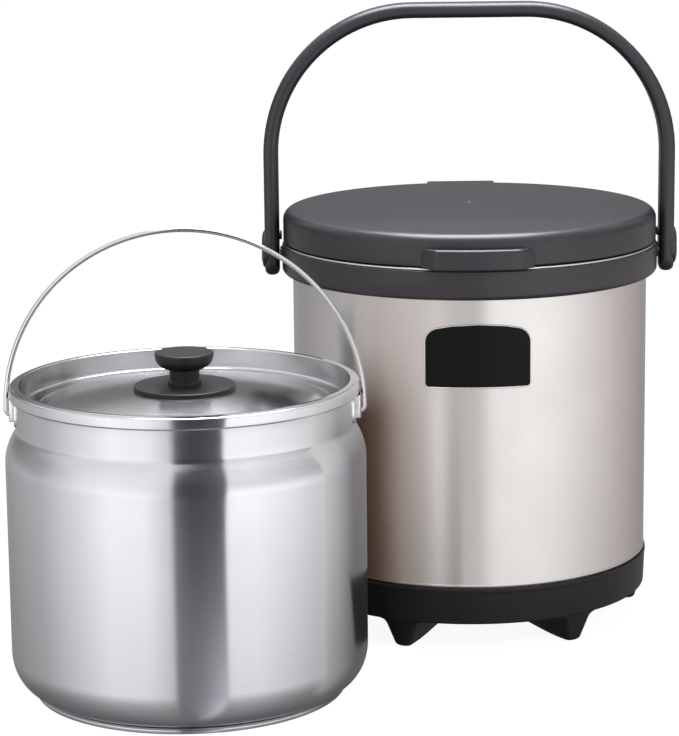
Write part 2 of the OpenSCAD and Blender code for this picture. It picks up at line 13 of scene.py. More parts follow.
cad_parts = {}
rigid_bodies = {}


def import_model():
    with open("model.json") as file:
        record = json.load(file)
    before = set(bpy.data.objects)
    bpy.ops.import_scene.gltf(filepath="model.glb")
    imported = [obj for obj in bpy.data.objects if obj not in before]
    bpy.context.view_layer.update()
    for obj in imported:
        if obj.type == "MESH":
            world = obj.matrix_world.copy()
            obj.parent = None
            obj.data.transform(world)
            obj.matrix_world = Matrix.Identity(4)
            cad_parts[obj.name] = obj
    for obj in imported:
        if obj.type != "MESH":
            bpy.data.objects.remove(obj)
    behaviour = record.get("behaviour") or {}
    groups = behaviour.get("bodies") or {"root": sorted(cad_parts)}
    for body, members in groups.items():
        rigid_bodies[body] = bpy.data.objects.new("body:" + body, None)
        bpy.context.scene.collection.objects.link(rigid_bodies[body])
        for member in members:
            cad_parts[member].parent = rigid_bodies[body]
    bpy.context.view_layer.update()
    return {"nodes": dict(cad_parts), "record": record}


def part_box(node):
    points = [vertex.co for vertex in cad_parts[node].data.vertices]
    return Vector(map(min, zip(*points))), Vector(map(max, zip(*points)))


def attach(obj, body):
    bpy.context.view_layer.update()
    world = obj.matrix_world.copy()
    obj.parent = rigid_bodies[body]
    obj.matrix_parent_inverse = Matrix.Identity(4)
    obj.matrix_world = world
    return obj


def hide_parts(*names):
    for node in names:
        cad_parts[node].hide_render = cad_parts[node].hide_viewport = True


MM = 0.001

# Camera fitted to the photograph, whose longer side is its height
FRAME_LONG_PX = 736
FOCAL_PX = 2806.0
SENSOR_MM = 36.0
CAMERA_AT = Vector((-0.0928, -1.9656, 0.577))
CAMERA_PITCH = 0.202
CAMERA_ROLL = -0.0115

# Sizes of the pieces, in millimetres. Names end in R for a radius, T for a thickness, W for a width, H for a
# height, and X, Y or Z for a place.

# Container
BODY_R = 125
SHELL_T = 0.8
SKIRT_R = 122.3
SKIRT_ROUND = 6
SKIRT_ROUND_IN = 5
VESSEL_Z = 25.5
BODY_Z = 46
BEAD_UP = 0.5
BEAD_OUT = 0.3
BEAD_H = 1.3
BEAD_RUN = 0.4
BEAD_ROUND = 0.6
BEAD_FILLET = 0.3
BASE_Z = 20
BASE_R = 126
BASE_DRAW = 1
BASE_SETBACK = 0.1
BASE_FLOOR = 3
BASE_FIT = 0.2
BASE_GAP = 0.7
BASE_LIP_OUT = 0.2
BASE_LIP_H = 2.2
BASE_STEP_H = 1.2
COLLAR_Z = 245.4
COLLAR_TOP = 265.6
COLLAR_R = 132.4
COLLAR_FIT = 0.05
COLLAR_RISE = 0.3
COLLAR_ROUND = 7
CAVITY_R = 119.4
LIP_TOP = 267.2
LIP_SETBACK = 0.2
LIP_RISE = 0.1

# Feet
FOOT_W = 11
FOOT_FLANK = 7
FOOT_TURN = 4.5
FOOT_COUNT = 6
PAD_IN_R = 108
PAD_OUT_R = 120
FOOT_DRAW = 4.5
FOOT_RISE = 5
FOOT_IN_R = 66.5
FOOT_EDGE = 2.5
FOOT_FILLET = 4
FOOT_ROUND_IN = 3
FOOT_ROUND_OUT = 3.2
FOOT_HEIGHTS = [0, 0.2, 0.6, 1.2, 1.8, 2.5, 3.5, 5, 8, 12, 16, 17.5, 18.6, 19.4, 20]
FOOT_SUNK = 1.4

# Lid
LID_R = 131.5
LID_Z = 268.3
LID_EDGE_Z = 290
LID_TOP = 293.3
LID_ROUND = 7
LID_T = 2.5
LID_SKIRT = 4
LID_STEPS = 14
CROWN_END = 88
GATE_R = 2.2
GATE_RISE = 0.7
GATE_STEPS = 6

# Lift tab
TAB_W = 80
TAB_OUT = 7.6
TAB_PROUD = 0.05
TAB_TOP = 280.8
TAB_LOW = 266.9
TAB_SLOPE = 11
TAB_CORNER = 6
TAB_EDGE = 3
TAB_LIP = 4.6
TAB_LIP_END = -1.0
TAB_DIP = 4
TAB_DIP_RUN = 0.3
TAB_DIP_OUT = 0.8
TAB_SUNK = 0.1
TAB_ROOT = 1.5
TAB_STEPS = 48

# Hinge
HINGE_Y = 139.8
HINGE_Z = 264
HINGE_W = 50
HINGE_ROOT = 4.5
HINGE_SETBACK = 0.5
HINGE_EDGE = 0.8
KNUCKLE_R = 6.4
KNUCKLE_ROUND = 2
LUG_W = 20
LUG_ROOT = 1
LUG_GAP = 0.5
LUG_EDGE = 0.5
BRIDGE_UP = 1.4
BRIDGE_BACK = 2.4
BRIDGE_LAP = 1
BRIDGE_EDGE = 0.4

# Corners of the hinge bracket's back, from the pin and the bracket's top: back, up and radius
HINGE_CROWN = [(1, -3, 5), (-2, 0, 3)]

# Carry handle
PIVOT_Z = 258
PIVOT_BOSS_R = 5.3
PIVOT_BOSS_X = 133.7
PIVOT_BOSS_ROOT = 3
PIVOT_EDGE = 0.5
ARM_X = 134.2
BOW_T = 10.4
BOW_DEPTH = 20
BOW_EDGE = 4.5
BOW_EDGE_SHARE = 0.98
BOW_END_DEPTH = 0.2
BOW_CORNER = 105
BOW_CORNER_STEPS = 28
BOW_TOP_STEPS = 4
BOW_TOP = 433.6
ARM_BELOW = 15.3
BOSS_OUT = 2.1
BOSS_RISE = 6.6
BOSS_STEPS = 16
CAP_R = 5.4
CAP_SUNK = 0.5
CAP_PROUD = 0.15
NUB_R = 3.2
NUB_UP = 13.2
NUB_GAP = 1
NUB_ROOT = 2
NUB_EDGE = 0.8

# Distances from an arm's end at which the arm is drawn, and one that counts as far from it
ARM_STATIONS = [0, 0.15, 0.5, 1, 1.8, 2.8, 4, 5.5, 7.5, 10, 14, 20, 30, 40, 52, 64]
FAR_FROM_END = 99

# Rings of the domed boss at an arm's end: inset from the arm's edge and height over its face
BOSS_RINGS = [
    (0, -3), (0, 0), (0.25, 0.5), (0.9, 1.05), (2.0, 1.55), (3.6, 1.9), (5.6, BOSS_OUT), (8.5, BOSS_OUT),
]

# Badge
BADGE_W = 72.3
BADGE_H = 44.2
BADGE_T = 0.5
BADGE_ROUND = 3.5
BADGE_SHOULDER = 11
BADGE_ARCH = 150
BADGE_DROP = 16.4
BADGE_Z = COLLAR_Z - BADGE_DROP - BADGE_H / 2
BADGE_BEAD = 0.45
BADGE_BEAD_SUNK = 0.05
BADGE_BEAD_SIDES = 10

# Rings of the badge from its edge to its middle: share of its outline and height over the body
BADGE_RINGS = [(1, 0.02), (1, 0.4)] + [(share, BADGE_T) for share in (0.985, 0.8, 0.55, 0.3, 0)]

# Pot
POT_R = 117.2
POT_T = 0.8
POT_H = 205.3
POT_CORNER = 19
POT_CORNER_H = 25
POT_CORNER_STEPS = 16
POT_DISC_T = 4.5
POT_DISC_R = 102.4
POT_DISC_DRAW = 0.6
POT_DISC_SIDE = 2.6
POT_DISC_EDGE = 3.6
POT_DISC_BACK = 1.2
NECK_R = 109.5
NECK_Z = 177
SHOULDER_Z = 155.5
SHOULDER_STEPS = 18
CREASE_R = 6
CREASE_H = 6
RIM_R = 113.2
RIM_Z = 197.8
RIM_ROOT = 6
RIM_SUNK = 0.1
RIM_DRAW = 0.5
RIM_DRAW_H = 1

# Bail and brackets
WIRE_R = 1.6
BAIL_R = 116.3
BAIL_Z = 184.5
BAIL_END_X = 111.3
BEND_R = 3.5
BEND_LEAD = 0.4
BEND_STEPS = 8
ARCH_STEPS = 96
WIRE_SIDES = 16
BRACKET_X = 114.2
BRACKET_W = 12
BRACKET_Z = 180.5
BRACKET_H = 15
BRACKET_T = 1.2
BRACKET_ROUND = 1.6
BRACKET_EDGE = 0.7
PLATE_W = 27
PLATE_H = 21
PLATE_ROUND = 6
PLATE_TRIM = 0.3
PLUG_WALL = 1.6
PLUG_SETBACK = 0.5
PLUG_UP = 4
PLUG_GAP = 0.3
PLUG_EDGE = 0.5

# Rings of a bracket's plate from its edge to its middle: share of its outline and height over the neck
PLATE_RINGS = [(1, -0.1), (1, BRACKET_T - 0.4)] + [(share, BRACKET_T) for share in (0.975, 0.7, 0.4, 0)]

# Pot lid and knob
FLANGE_R = 110.6
DISH_R = 107.7
GROOVE_Z = 191.6
GROOVE_W = 12
GROOVE_ROUND = 2
GROOVE_STEPS = 8
MIDDLE_R = 90.7
MIDDLE_Z = 200.1
MIDDLE_EDGE_Z = 193.6
MIDDLE_STEPS = 12
SEAT_MARGIN = 4
KNOB_DISC_R = 33.2
KNOB_DISC_SUNK = 0.1
KNOB_DISC_DROP = 0.4
KNOB_DISC_CROWN = 0.1
KNOB_DISC_CROWN_R = 14
KNOB_Z = 203.5
KNOB_SUNK = 0.2
KNOB_R = 19.1
KNOB_NECK_R = 9.9
KNOB_NECK_DRAW = 0.3
KNOB_STEP_OUT = 1
KNOB_STEP_H = 2.2
KNOB_STEP_RUN = 0.6
KNOB_BOWL_H = 9
KNOB_BOWL_LEAD = 0.4
KNOB_BOWL_STEPS = 14
KNOB_RIM_H = 2
KNOB_RIM_LEAD = 0.2
KNOB_RIM_W = 4
KNOB_RIM_DROP = 0.15
KNOB_HOLLOW = 0.7
KNOB_TOP = 224.7
KNOB_STEPS = 160


def link(obj):
    bpy.context.scene.collection.objects.link(obj)
    return obj


# Camera, light and floor


def make_camera():
    data = bpy.data.cameras.new("camera")
    data.sensor_width = SENSOR_MM
    data.lens = FOCAL_PX * SENSOR_MM / FRAME_LONG_PX
    camera = link(bpy.data.objects.new("camera", data))
    right = Vector((1, 0, 0))
    up = Vector((0, math.sin(CAMERA_PITCH), math.cos(CAMERA_PITCH)))
    forward = Vector((0, math.cos(CAMERA_PITCH), -math.sin(CAMERA_PITCH)))
    c, s = math.cos(CAMERA_ROLL), math.sin(CAMERA_ROLL)
    turn = Matrix((c * right + s * up, c * up - s * right, -forward)).transposed()
    camera.matrix_world = Matrix.Translation(CAMERA_AT) @ turn.to_4x4()
    bpy.context.scene.camera = camera


def calc(tree, operation, *values):
    """The result of a math node on values, each a number or a socket."""
    node = tree.nodes.new("ShaderNodeMath")
    node.operation = operation
    for entry, value in zip(node.inputs, values):
        if isinstance(value, (int, float)):
            entry.default_value = value
        else:
            tree.links.new(value, entry)
    return node.outputs[0]


def shown_rays(tree):
    """1 for the rays that show the background: camera, glossy and transmission rays."""
    path = tree.nodes.new("ShaderNodeLightPath").outputs
    either = calc(tree, "MAXIMUM", path["Is Camera Ray"], path["Is Glossy Ray"])
    return calc(tree, "MAXIMUM", either, path["Is Transmission Ray"])


AMBIENT = 0.5


def make_world():
    """White where the background shows, and a softer light on everything else."""
    world = bpy.data.worlds.new("studio")
    world.use_nodes = True
    tree = world.node_tree
    tree.nodes.clear()
    ambient = tree.nodes.new("ShaderNodeBackground")
    ambient.inputs["Strength"].default_value = AMBIENT
    ambient.inputs["Color"].default_value = (1, 1, 1, 1)
    white = tree.nodes.new("ShaderNodeBackground")
    white.inputs["Color"].default_value = (1, 1, 1, 1)
    mix = tree.nodes.new("ShaderNodeMixShader")
    out = tree.nodes.new("ShaderNodeOutputWorld")
    tree.links.new(shown_rays(tree), mix.inputs[0])
    tree.links.new(ambient.outputs[0], mix.inputs[1])
    tree.links.new(white.outputs[0], mix.inputs[2])
    tree.links.new(mix.outputs[0], out.inputs[0])
    bpy.context.scene.world = world


FLOOR_HALF = 6.0
FLOOR_Z = -0.0002
FLOOR_GLOW = 0.93
FLOOR_ALBEDO = 0.16


def make_floor():
    """A white floor that keeps the shadow and is left out of reflections."""
    mesh = bpy.data.meshes.new("floor")
    h = FLOOR_HALF
    mesh.from_pydata([(-h, -h, 0), (h, -h, 0), (h, h, 0), (-h, h, 0)], [], [(0, 1, 2, 3)])
    floor = link(bpy.data.objects.new("floor", mesh))
    floor.location.z = FLOOR_Z
    material = bpy.data.materials.new("floor_white")
    material.use_nodes = True
    tree = material.node_tree
    tree.nodes.clear()
    paper = tree.nodes.new("ShaderNodeBsdfDiffuse")
    paper.inputs["Color"].default_value = (FLOOR_ALBEDO,) * 3 + (1,)
    glow = tree.nodes.new("ShaderNodeEmission")
    both = tree.nodes.new("ShaderNodeAddShader")
    out = tree.nodes.new("ShaderNodeOutputMaterial")
    tree.links.new(calc(tree, "MULTIPLY", shown_rays(tree), FLOOR_GLOW), glow.inputs["Strength"])
    tree.links.new(paper.outputs[0], both.inputs[0])
    tree.links.new(glow.outputs[0], both.inputs[1])
    tree.links.new(both.outputs[0], out.inputs["Surface"])
    mesh.materials.append(material)
    floor.visible_glossy = False


def glossy_only(obj):
    """A stage piece that shows in reflections alone."""
    obj.visible_camera = False
    obj.visible_diffuse = False
    obj.visible_shadow = False
    obj.visible_transmission = False
    obj.visible_volume_scatter = False


# The studio round the vessels by bearing, in degrees from the front and positive to the right: brightness
# low down, at table height, a little above and high up, and warmth from 0 to 1
STUDIO_RADIUS = 1.6
STUDIO_CENTRE = (-0.1, -0.09)
STUDIO_STEPS = 240
STUDIO_LIGHT = [
    (-180, 0.33, 0.33, 0.20, 1.0, 0.0),
    (-140, 0.38, 0.38, 0.20, 1.0, 0.1),
    (-95, 0.62, 0.62, 0.45, 0.9, 0.1),
    (-62, 1.08, 1.08, 1.10, 1.0, 0.0),
    (-46, 1.37, 1.37, 1.20, 1.1, 0.0),
    (-24, 1.35, 1.35, 1.10, 1.1, 0.0),
    (-10, 1.05, 0.78, 0.90, 1.0, 0.3),
    (3, 1.02, 0.57, 0.90, 1.0, 0.4),
    (9, 1.02, 0.75, 0.90, 1.0, 0.3),
    (15, 1.32, 1.48, 1.00, 1.1, 0.0),
    (40, 1.38, 1.58, 0.95, 1.1, 0.0),
    (60, 1.12, 1.45, 0.85, 1.0, 0.0),
    (84, 0.86, 1.06, 0.60, 0.8, 0.5),
    (108, 0.70, 0.69, 0.40, 0.7, 1.0),
    (142, 0.42, 0.35, 0.22, 0.8, 1.0),
    (180, 0.33, 0.33, 0.20, 1.0, 0.0),
]
WARM_TINT = Vector((0.06, -0.02, -0.03))

# Rows of the studio wall: height, gain, and the brightness taken, from 0 for low down to 3 for high up
STUDIO_ROWS = [
    (-0.9, 0.36, 0), (-0.6, 0.62, 0), (-0.32, 0.88, 0), (-0.15, 1.06, 1), (0.0, 1.18, 1), (0.3, 1.0, 2),
    (0.78, 1.0, 2), (1.15, 1.0, 3), (1.5, 1.0, 3),
]


def studio_colour(bearing, gain, band):
    """Colour of the studio's wall at a bearing, in one of its bands."""
    for low, high in zip(STUDIO_LIGHT, STUDIO_LIGHT[1:]):
        if low[0] <= bearing <= high[0]:
            t = (bearing - low[0]) / (high[0] - low[0])
            *levels, warmth = (a + (b - a) * t for a, b in zip(low[1:], high[1:]))
            return gain * levels[band] * (Vector((1, 1, 1)) + warmth * WARM_TINT)


# Ray depth is below this in a surface's own reflection and above it in the reflection of a reflection
FIRST_DEPTH = 1.5


def first_reflections(tree, level):
    """The given level in a surface's own reflection, and 1 in the reflection of a reflection."""
    path = tree.nodes.new("ShaderNodeLightPath").outputs
    first = calc(tree, "LESS_THAN", path["Ray Depth"], FIRST_DEPTH)
    return calc(tree, "MULTIPLY_ADD", first, level - 1, 1)


def glow_material(name, level):
    """Light given off by a studio wall, in the colour stored on its points times a level."""
    material = bpy.data.materials.new(name)
    material.use_nodes = True
    tree = material.node_tree
    tree.nodes.clear()
    stored = tree.nodes.new("ShaderNodeAttribute")
    stored.attribute_name = "light"
    glow = tree.nodes.new("ShaderNodeEmission")
    out = tree.nodes.new("ShaderNodeOutputMaterial")
    tree.links.new(stored.outputs["Color"], glow.inputs["Color"])
    if level != 1:
        tree.links.new(first_reflections(tree, level), glow.inputs["Strength"])
    tree.links.new(glow.outputs[0], out.inputs["Surface"])
    return material


def glowing_wall(name, points, faces, colours, level=1):
    """A stage piece that gives off the colours of its points, seen in reflections alone."""
    mesh = bpy.data.meshes.new(name)
    mesh.from_pydata(points, [], faces)
    stored = mesh.attributes.new("light", "FLOAT_COLOR", "POINT")
    for entry, colour in zip(stored.data, colours):
        entry.color = (*colour, 1)
    mesh.materials.append(glow_material(name, level))
    glossy_only(link(bpy.data.objects.new(name, mesh)))


UNDER_LIGHT = 0.12


def make_studio():
    """A drum of light and grey walls that the steel reflects."""
    steps = STUDIO_STEPS
    points, colours, faces = [], [], []
    for z, gain, band in STUDIO_ROWS:
        for i in range(steps):
            bearing = -180 + 360 * i / steps
            a = math.radians(bearing)
            points.append((STUDIO_CENTRE[0] + STUDIO_RADIUS * math.sin(a),
                           STUDIO_CENTRE[1] - STUDIO_RADIUS * math.cos(a), z))
            colours.append(studio_colour(bearing, gain, band))
    for k in range(len(STUDIO_ROWS) - 1):
        for i in range(steps):
            j = (i + 1) % steps
            faces.append((k * steps + i, k * steps + j, (k + 1) * steps + j, (k + 1) * steps + i))
    points.append((*STUDIO_CENTRE, STUDIO_ROWS[0][0]))
    colours.append((UNDER_LIGHT,) * 3)
    for i in range(steps):
        faces.append((len(points) - 1, (i + 1) % steps, i))
    glowing_wall("studio_drum", points, faces, colours)


def glowing_card(name, ends, heights, tops, shades):
    """A card over places on the table, with a row of colours at each height and one at its tops."""
    points = [(*at, z) for z in heights for at in ends] + tops
    count = len(ends)
    faces = [(k * count + i, k * count + i + 1, (k + 1) * count + i + 1, (k + 1) * count + i)
             for k in range(len(heights)) for i in range(count - 1)]
    glowing_wall(name, points, faces, [colour for row in shades for colour in row])


# A flag in front of the two vessels, which rises away from them: dark towards the pot and pale towards the
# container. Its gains go with its heights and tops, its shares with places between its near and its far end.
FLAG_NEAR = Vector((-0.1304, -0.3669))
FLAG_FAR = Vector((-0.285, -1.150))
FLAG_HEIGHTS = [-0.9, -0.06, -0.01, 0.03, 0.07, 0.12]
FLAG_TOPS = (0.34, 1.05)
FLAG_LEAN = 0.035
FLAG_DARK = Vector((0.99, 0.97, 1.04))
FLAG_DARK_GAINS = [0.25, 0.38, 0.33, 0.205, 0.115, 0.065, 0.045]
FLAG_DARK_SHARES = [(0, 2.2), (0.04, 1.5), (0.1, 0.95), (0.2, 0.7), (1, 0.5)]
FLAG_PALE = Vector((0.80, 0.75, 0.73))
FLAG_PALE_GAINS = [0.7, 0.84, 0.92, 0.96, 1.0, 1.0, 1.0]
FLAG_PALE_SHARES = [(0, 1), (1, 1)]

# A card from before the container into the gap between the vessels, whose colours are painted reflections
# that stand in for the two vessels mirroring each other: colours at distances from its front end, and rows of
# height, gain and the share of the colour that both sides fade to
GAP_FRONT = Vector((-0.030, -0.250))
GAP_BACK = Vector((-0.104, -0.096))
GAP_ROWS = [
    (-0.05, 0.55, 0), (0.02, 0.66, 0), (0.10, 0.95, 0), (0.16, 1.1, 0), (0.205, 1.1, 0.65), (0.25, 1.15, 0.8),
]
GAP_FADE = Vector((0.90, 0.86, 0.84))
GAP_POT_SIDE = [
    (0.0, Vector((0.80, 0.78, 0.76))),
    (0.026, Vector((0.56, 0.55, 0.55))),
    (0.054, Vector((0.24, 0.23, 0.23))),
    (0.17, Vector((0.2, 0.19, 0.18))),
]
GAP_CONTAINER_SIDE = [
    (0.0, Vector((0.56, 0.53, 0.51))),
    (0.034, Vector((0.66, 0.63, 0.61))),
    (0.055, Vector((1.0, 0.97, 0.95))),
    (0.069, Vector((0.98, 0.95, 0.93))),
    (0.086, Vector((0.69, 0.65, 0.63))),
    (0.12, Vector((0.47, 0.40, 0.375))),
    (0.146, Vector((0.14, 0.09, 0.066))),
    (0.17, Vector((0.03, 0.016, 0.01))),
]
CARD_GAP = 0.001

# A black card on the gap's side to the pot, a painted reflection of the container's dark base where the pot
# mirrors
# it: height and both ends
PAINTED_BASE_REFLECTION_ROWS = [(0.025, (0.055, 0.17)), (0.073, (0.0465, 0.17))]
PAINTED_BASE_REFLECTION_COLOUR = Vector((0.022, 0.02, 0.022))


def make_flag():
    """The flag's two faces, a little apart."""
    along = (FLAG_FAR - FLAG_NEAR).normalized()
    aside = Vector((-along.y, along.x)) * CARD_GAP
    near_top, far_top = FLAG_TOPS
    for name, shift, colour, gains, shares in (
            ("flag_pot_side", -aside, FLAG_DARK, FLAG_DARK_GAINS, FLAG_DARK_SHARES),
            ("flag_container_side", aside, FLAG_PALE, FLAG_PALE_GAINS, FLAG_PALE_SHARES)):
        ends = [FLAG_NEAR.lerp(FLAG_FAR, t) + shift for t, _ in shares]
        tops = []
        for t, _ in shares:
            at = FLAG_NEAR.lerp(FLAG_FAR, t - FLAG_LEAN * (1 - t)) + shift
            tops.append((*at, near_top + (far_top - near_top) * t))
        shades = [[gain * share * colour for _, share in shares] for gain in gains]
        glowing_card(name, ends, FLAG_HEIGHTS, tops, shades)


def make_gap_cards():
    """The gap card's two faces, a little apart, and the black card beside it, all painted reflections of the
    two vessels in each other.
    """
    along = (GAP_BACK - GAP_FRONT).normalized()
    aside = Vector((along.y, -along.x)) * CARD_GAP
    *heights, top = (z for z, _, _ in GAP_ROWS)
    for name, shift, stations in (("gap_pot_side", -aside, GAP_POT_SIDE),
                                  ("gap_container_side", aside, GAP_CONTAINER_SIDE)):
        ends = [GAP_FRONT + along * s + shift for s, _ in stations]
        shades = [[(gain * colour).lerp(GAP_FADE, share) for _, colour in stations]
                  for _, gain, share in GAP_ROWS]
        glowing_card(name, ends, heights, [(*at, top) for at in ends], shades)
    # The black card paints the container's base as the pot mirrors it
    (low, low_reach), (high, high_reach) = PAINTED_BASE_REFLECTION_ROWS
    front = GAP_FRONT - 2 * aside
    ends = [front + along * s for s in low_reach]
    tops = [(*(front + along * s), high) for s in high_reach]
    glowing_card("painted_base_reflection", ends, [low], tops, [[PAINTED_BASE_REFLECTION_COLOUR] * 2] * 2)


# A soft box overhead, which draws the highlights on rounded edges
SOFT_BOX_AT = (-0.03, 0.05, 1.25)
SOFT_BOX_HALF = 0.4
SOFT_BOX_LIGHT = 16
SOFT_BOX_COLOUR = (1, 1, 1.09)


def make_soft_box():
    x, y, z = SOFT_BOX_AT
    h = SOFT_BOX_HALF
    points = [(x - h, y - h, z), (x + h, y - h, z), (x + h, y + h, z), (x - h, y + h, z)]
    glowing_wall("soft_box", points, [(0, 1, 2, 3)], [SOFT_BOX_COLOUR] * 4, SOFT_BOX_LIGHT)


# Lamps for the matt surfaces: place, size and power
LAMP_AIM = Vector((-0.05, -0.05, 0.25))
LAMPS = {
    "top_light": ((-0.1, -0.1, 1.9), (1.3, 1.0), 9),
    "left_light": ((-1.35, -1.15, 0.75), (0.9, 1.1), 8),
    "right_light": ((1.35, -1.25, 0.8), (0.9, 1.1), 22),
}


def make_lights():
    """Lamps that aren't mirrored; what shines is lit by the studio and its cards."""
    for name, (at, size, power) in LAMPS.items():
        data = bpy.data.lights.new(name, "AREA")
        data.shape = "RECTANGLE"
        data.size, data.size_y = size
        data.energy = power
        lamp = link(bpy.data.objects.new(name, data))
        lamp.location = at
        lamp.rotation_euler = (LAMP_AIM - Vector(at)).to_track_quat("-Z", "Y").to_euler()
        lamp.visible_glossy = False
        lamp.visible_camera = False


# Materials

# Noise values mostly lie between these
NOISE_LOW = 0.3
NOISE_HIGH = 0.7

# Plastic
GRAIN_SCALE = 2400
GRAIN_DEPTH = 0.00004
CLOUD_SCALE = 35
GLOSS_SPREAD = 0.05

# Steel
STREAK_LENGTH = 0.03
SMUDGE_SCALE = 22
SMUDGE_SPREAD = 0.025
SCRATCH_DEPTH = 0.00001
SCRATCH_BUMP = 0.1
SCRATCH_TONES = (0.93, 1.05)
SCRATCH_SPREAD = (-0.04, 0.05)
QUARTER_TURN = 0.25

# Foam
CELL_SCALE = 700
CELL_DEPTH = 0.0006
CELL_BUMP = 0.6
CELL_TONES = (0.8, 1.05)
FOAM_ROUGHNESS = 0.95


def new_material(name):
    material = bpy.data.materials.new(name)
    material.use_nodes = True
    tree = material.node_tree
    return material, tree, tree.nodes["Principled BSDF"]


def object_place(tree):
    return tree.nodes.new("ShaderNodeTexCoord").outputs["Object"]


def noise(tree, vector, scale, detail, rough=0.5):
    node = tree.nodes.new("ShaderNodeTexNoise")
    node.inputs["Scale"].default_value = scale
    node.inputs["Detail"].default_value = detail
    node.inputs["Roughness"].default_value = rough
    tree.links.new(vector, node.inputs["Vector"])
    return node.outputs["Fac"]


def spread(tree, value, low, high):
    """A noise value spread from low to high."""
    node = tree.nodes.new("ShaderNodeMapRange")
    node.inputs["From Min"].default_value = NOISE_LOW
    node.inputs["From Max"].default_value = NOISE_HIGH
    node.inputs["To Min"].default_value = low
    node.inputs["To Max"].default_value = high
    tree.links.new(value, node.inputs["Value"])
    return node.outputs["Result"]


def two_tones(tree, shader, value, colour, dark, light):
    """Gives a shader a colour that a noise value takes from a dark to a light share of it."""
    node = tree.nodes.new("ShaderNodeValToRGB")
    for stop, position, share in zip(node.color_ramp.elements, (NOISE_LOW, NOISE_HIGH), (dark, light)):
        stop.position = position
        stop.color = (*(c * share for c in colour), 1)
    tree.links.new(value, node.inputs["Fac"])
    tree.links.new(node.outputs["Color"], shader.inputs["Base Color"])


def bump(tree, shader, height, strength, distance):
    """Relief on a shader from a noise value."""
    node = tree.nodes.new("ShaderNodeBump")
    node.inputs["Strength"].default_value = strength
    node.inputs["Distance"].default_value = distance
    tree.links.new(height, node.inputs["Height"])
    tree.links.new(node.outputs["Normal"], shader.inputs["Normal"])


def plastic(name, colour, roughness, shine=0.5, grain=0.25, variation=0.05):
    """Moulded plastic: an eroded grain, faint cloudiness in colour and gloss."""
    material, tree, shader = new_material(name)
    place = object_place(tree)
    cloud = noise(tree, place, CLOUD_SCALE, detail=4)
    fine = noise(tree, place, GRAIN_SCALE, detail=2, rough=0.6)
    two_tones(tree, shader, cloud, colour, 1 - variation, 1 + variation)
    gloss = spread(tree, fine, roughness - GLOSS_SPREAD, roughness + GLOSS_SPREAD)
    tree.links.new(gloss, shader.inputs["Roughness"])
    shader.inputs["Specular IOR Level"].default_value = shine
    bump(tree, shader, fine, grain, GRAIN_DEPTH)
    return material


def combined(tree, *values):
    """A vector of up to three values."""
    node = tree.nodes.new("ShaderNodeCombineXYZ")
    for entry, value in zip(node.inputs, values):
        tree.links.new(value, entry)
    return node.outputs[0]


def round_streaks(tree, place, length, pitch):
    """Noise drawn out round the Z axis: hairlines of that length and pitch, in metres."""
    apart = tree.nodes.new("ShaderNodeSeparateXYZ")
    tree.links.new(place, apart.inputs[0])
    x, y, z = apart.outputs
    radius = tree.nodes.new("ShaderNodeVectorMath")
    radius.operation = "LENGTH"
    tree.links.new(combined(tree, x, y), radius.inputs[0])
    across = calc(tree, "ADD", radius.outputs["Value"], z)
    parts = ((x, length), (y, length), (across, pitch))
    return combined(tree, *(calc(tree, "MULTIPLY", value, 1 / size) for value, size in parts))


def steel(name, colour, roughness, anisotropy, hairline=0.0006, depth=0.05, variation=0.02):
    """Steel brushed round its axis: hairlines in colour, gloss and height, and faint smudges."""
    material, tree, shader = new_material(name)
    place = object_place(tree)
    lines = noise(tree, round_streaks(tree, place, STREAK_LENGTH, hairline), 1.0, detail=3, rough=0.6)
    smudge = noise(tree, place, SMUDGE_SCALE, detail=3)
    two_tones(tree, shader, lines, colour, 1 - variation, 1 + variation)
    gloss = calc(tree, "ADD", spread(tree, lines, -variation, variation),
                 spread(tree, smudge, roughness - SMUDGE_SPREAD, roughness + SMUDGE_SPREAD))
    tree.links.new(gloss, shader.inputs["Roughness"])
    shader.inputs["Metallic"].default_value = 1
    shader.inputs["Anisotropic"].default_value = anisotropy
    shader.inputs["Anisotropic Rotation"].default_value = QUARTER_TURN
    tangent = tree.nodes.new("ShaderNodeTangent")
    tangent.direction_type = "RADIAL"
    tangent.axis = "Z"
    tree.links.new(tangent.outputs[0], shader.inputs["Tangent"])
    bump(tree, shader, lines, depth, SCRATCH_DEPTH)
    return material


def bright_steel(name, colour, roughness, scale=900):
    """Drawn or turned steel: fine scratches in every direction."""
    material, tree, shader = new_material(name)
    scratch = noise(tree, object_place(tree), scale, detail=3, rough=0.6)
    two_tones(tree, shader, scratch, colour, *SCRATCH_TONES)
    gloss = spread(tree, scratch, *(roughness + change for change in SCRATCH_SPREAD))
    tree.links.new(gloss, shader.inputs["Roughness"])
    shader.inputs["Metallic"].default_value = 1
    bump(tree, shader, scratch, SCRATCH_BUMP, SCRATCH_DEPTH)
    return material


def foam(name, colour):
    """Rigid foam: open cells."""
    material, tree, shader = new_material(name)
    cells = noise(tree, object_place(tree), CELL_SCALE, detail=3, rough=0.7)
    two_tones(tree, shader, cells, colour, *CELL_TONES)
    shader.inputs["Roughness"].default_value = FOAM_ROUGHNESS
    bump(tree, shader, cells, CELL_BUMP, CELL_DEPTH)
    return material


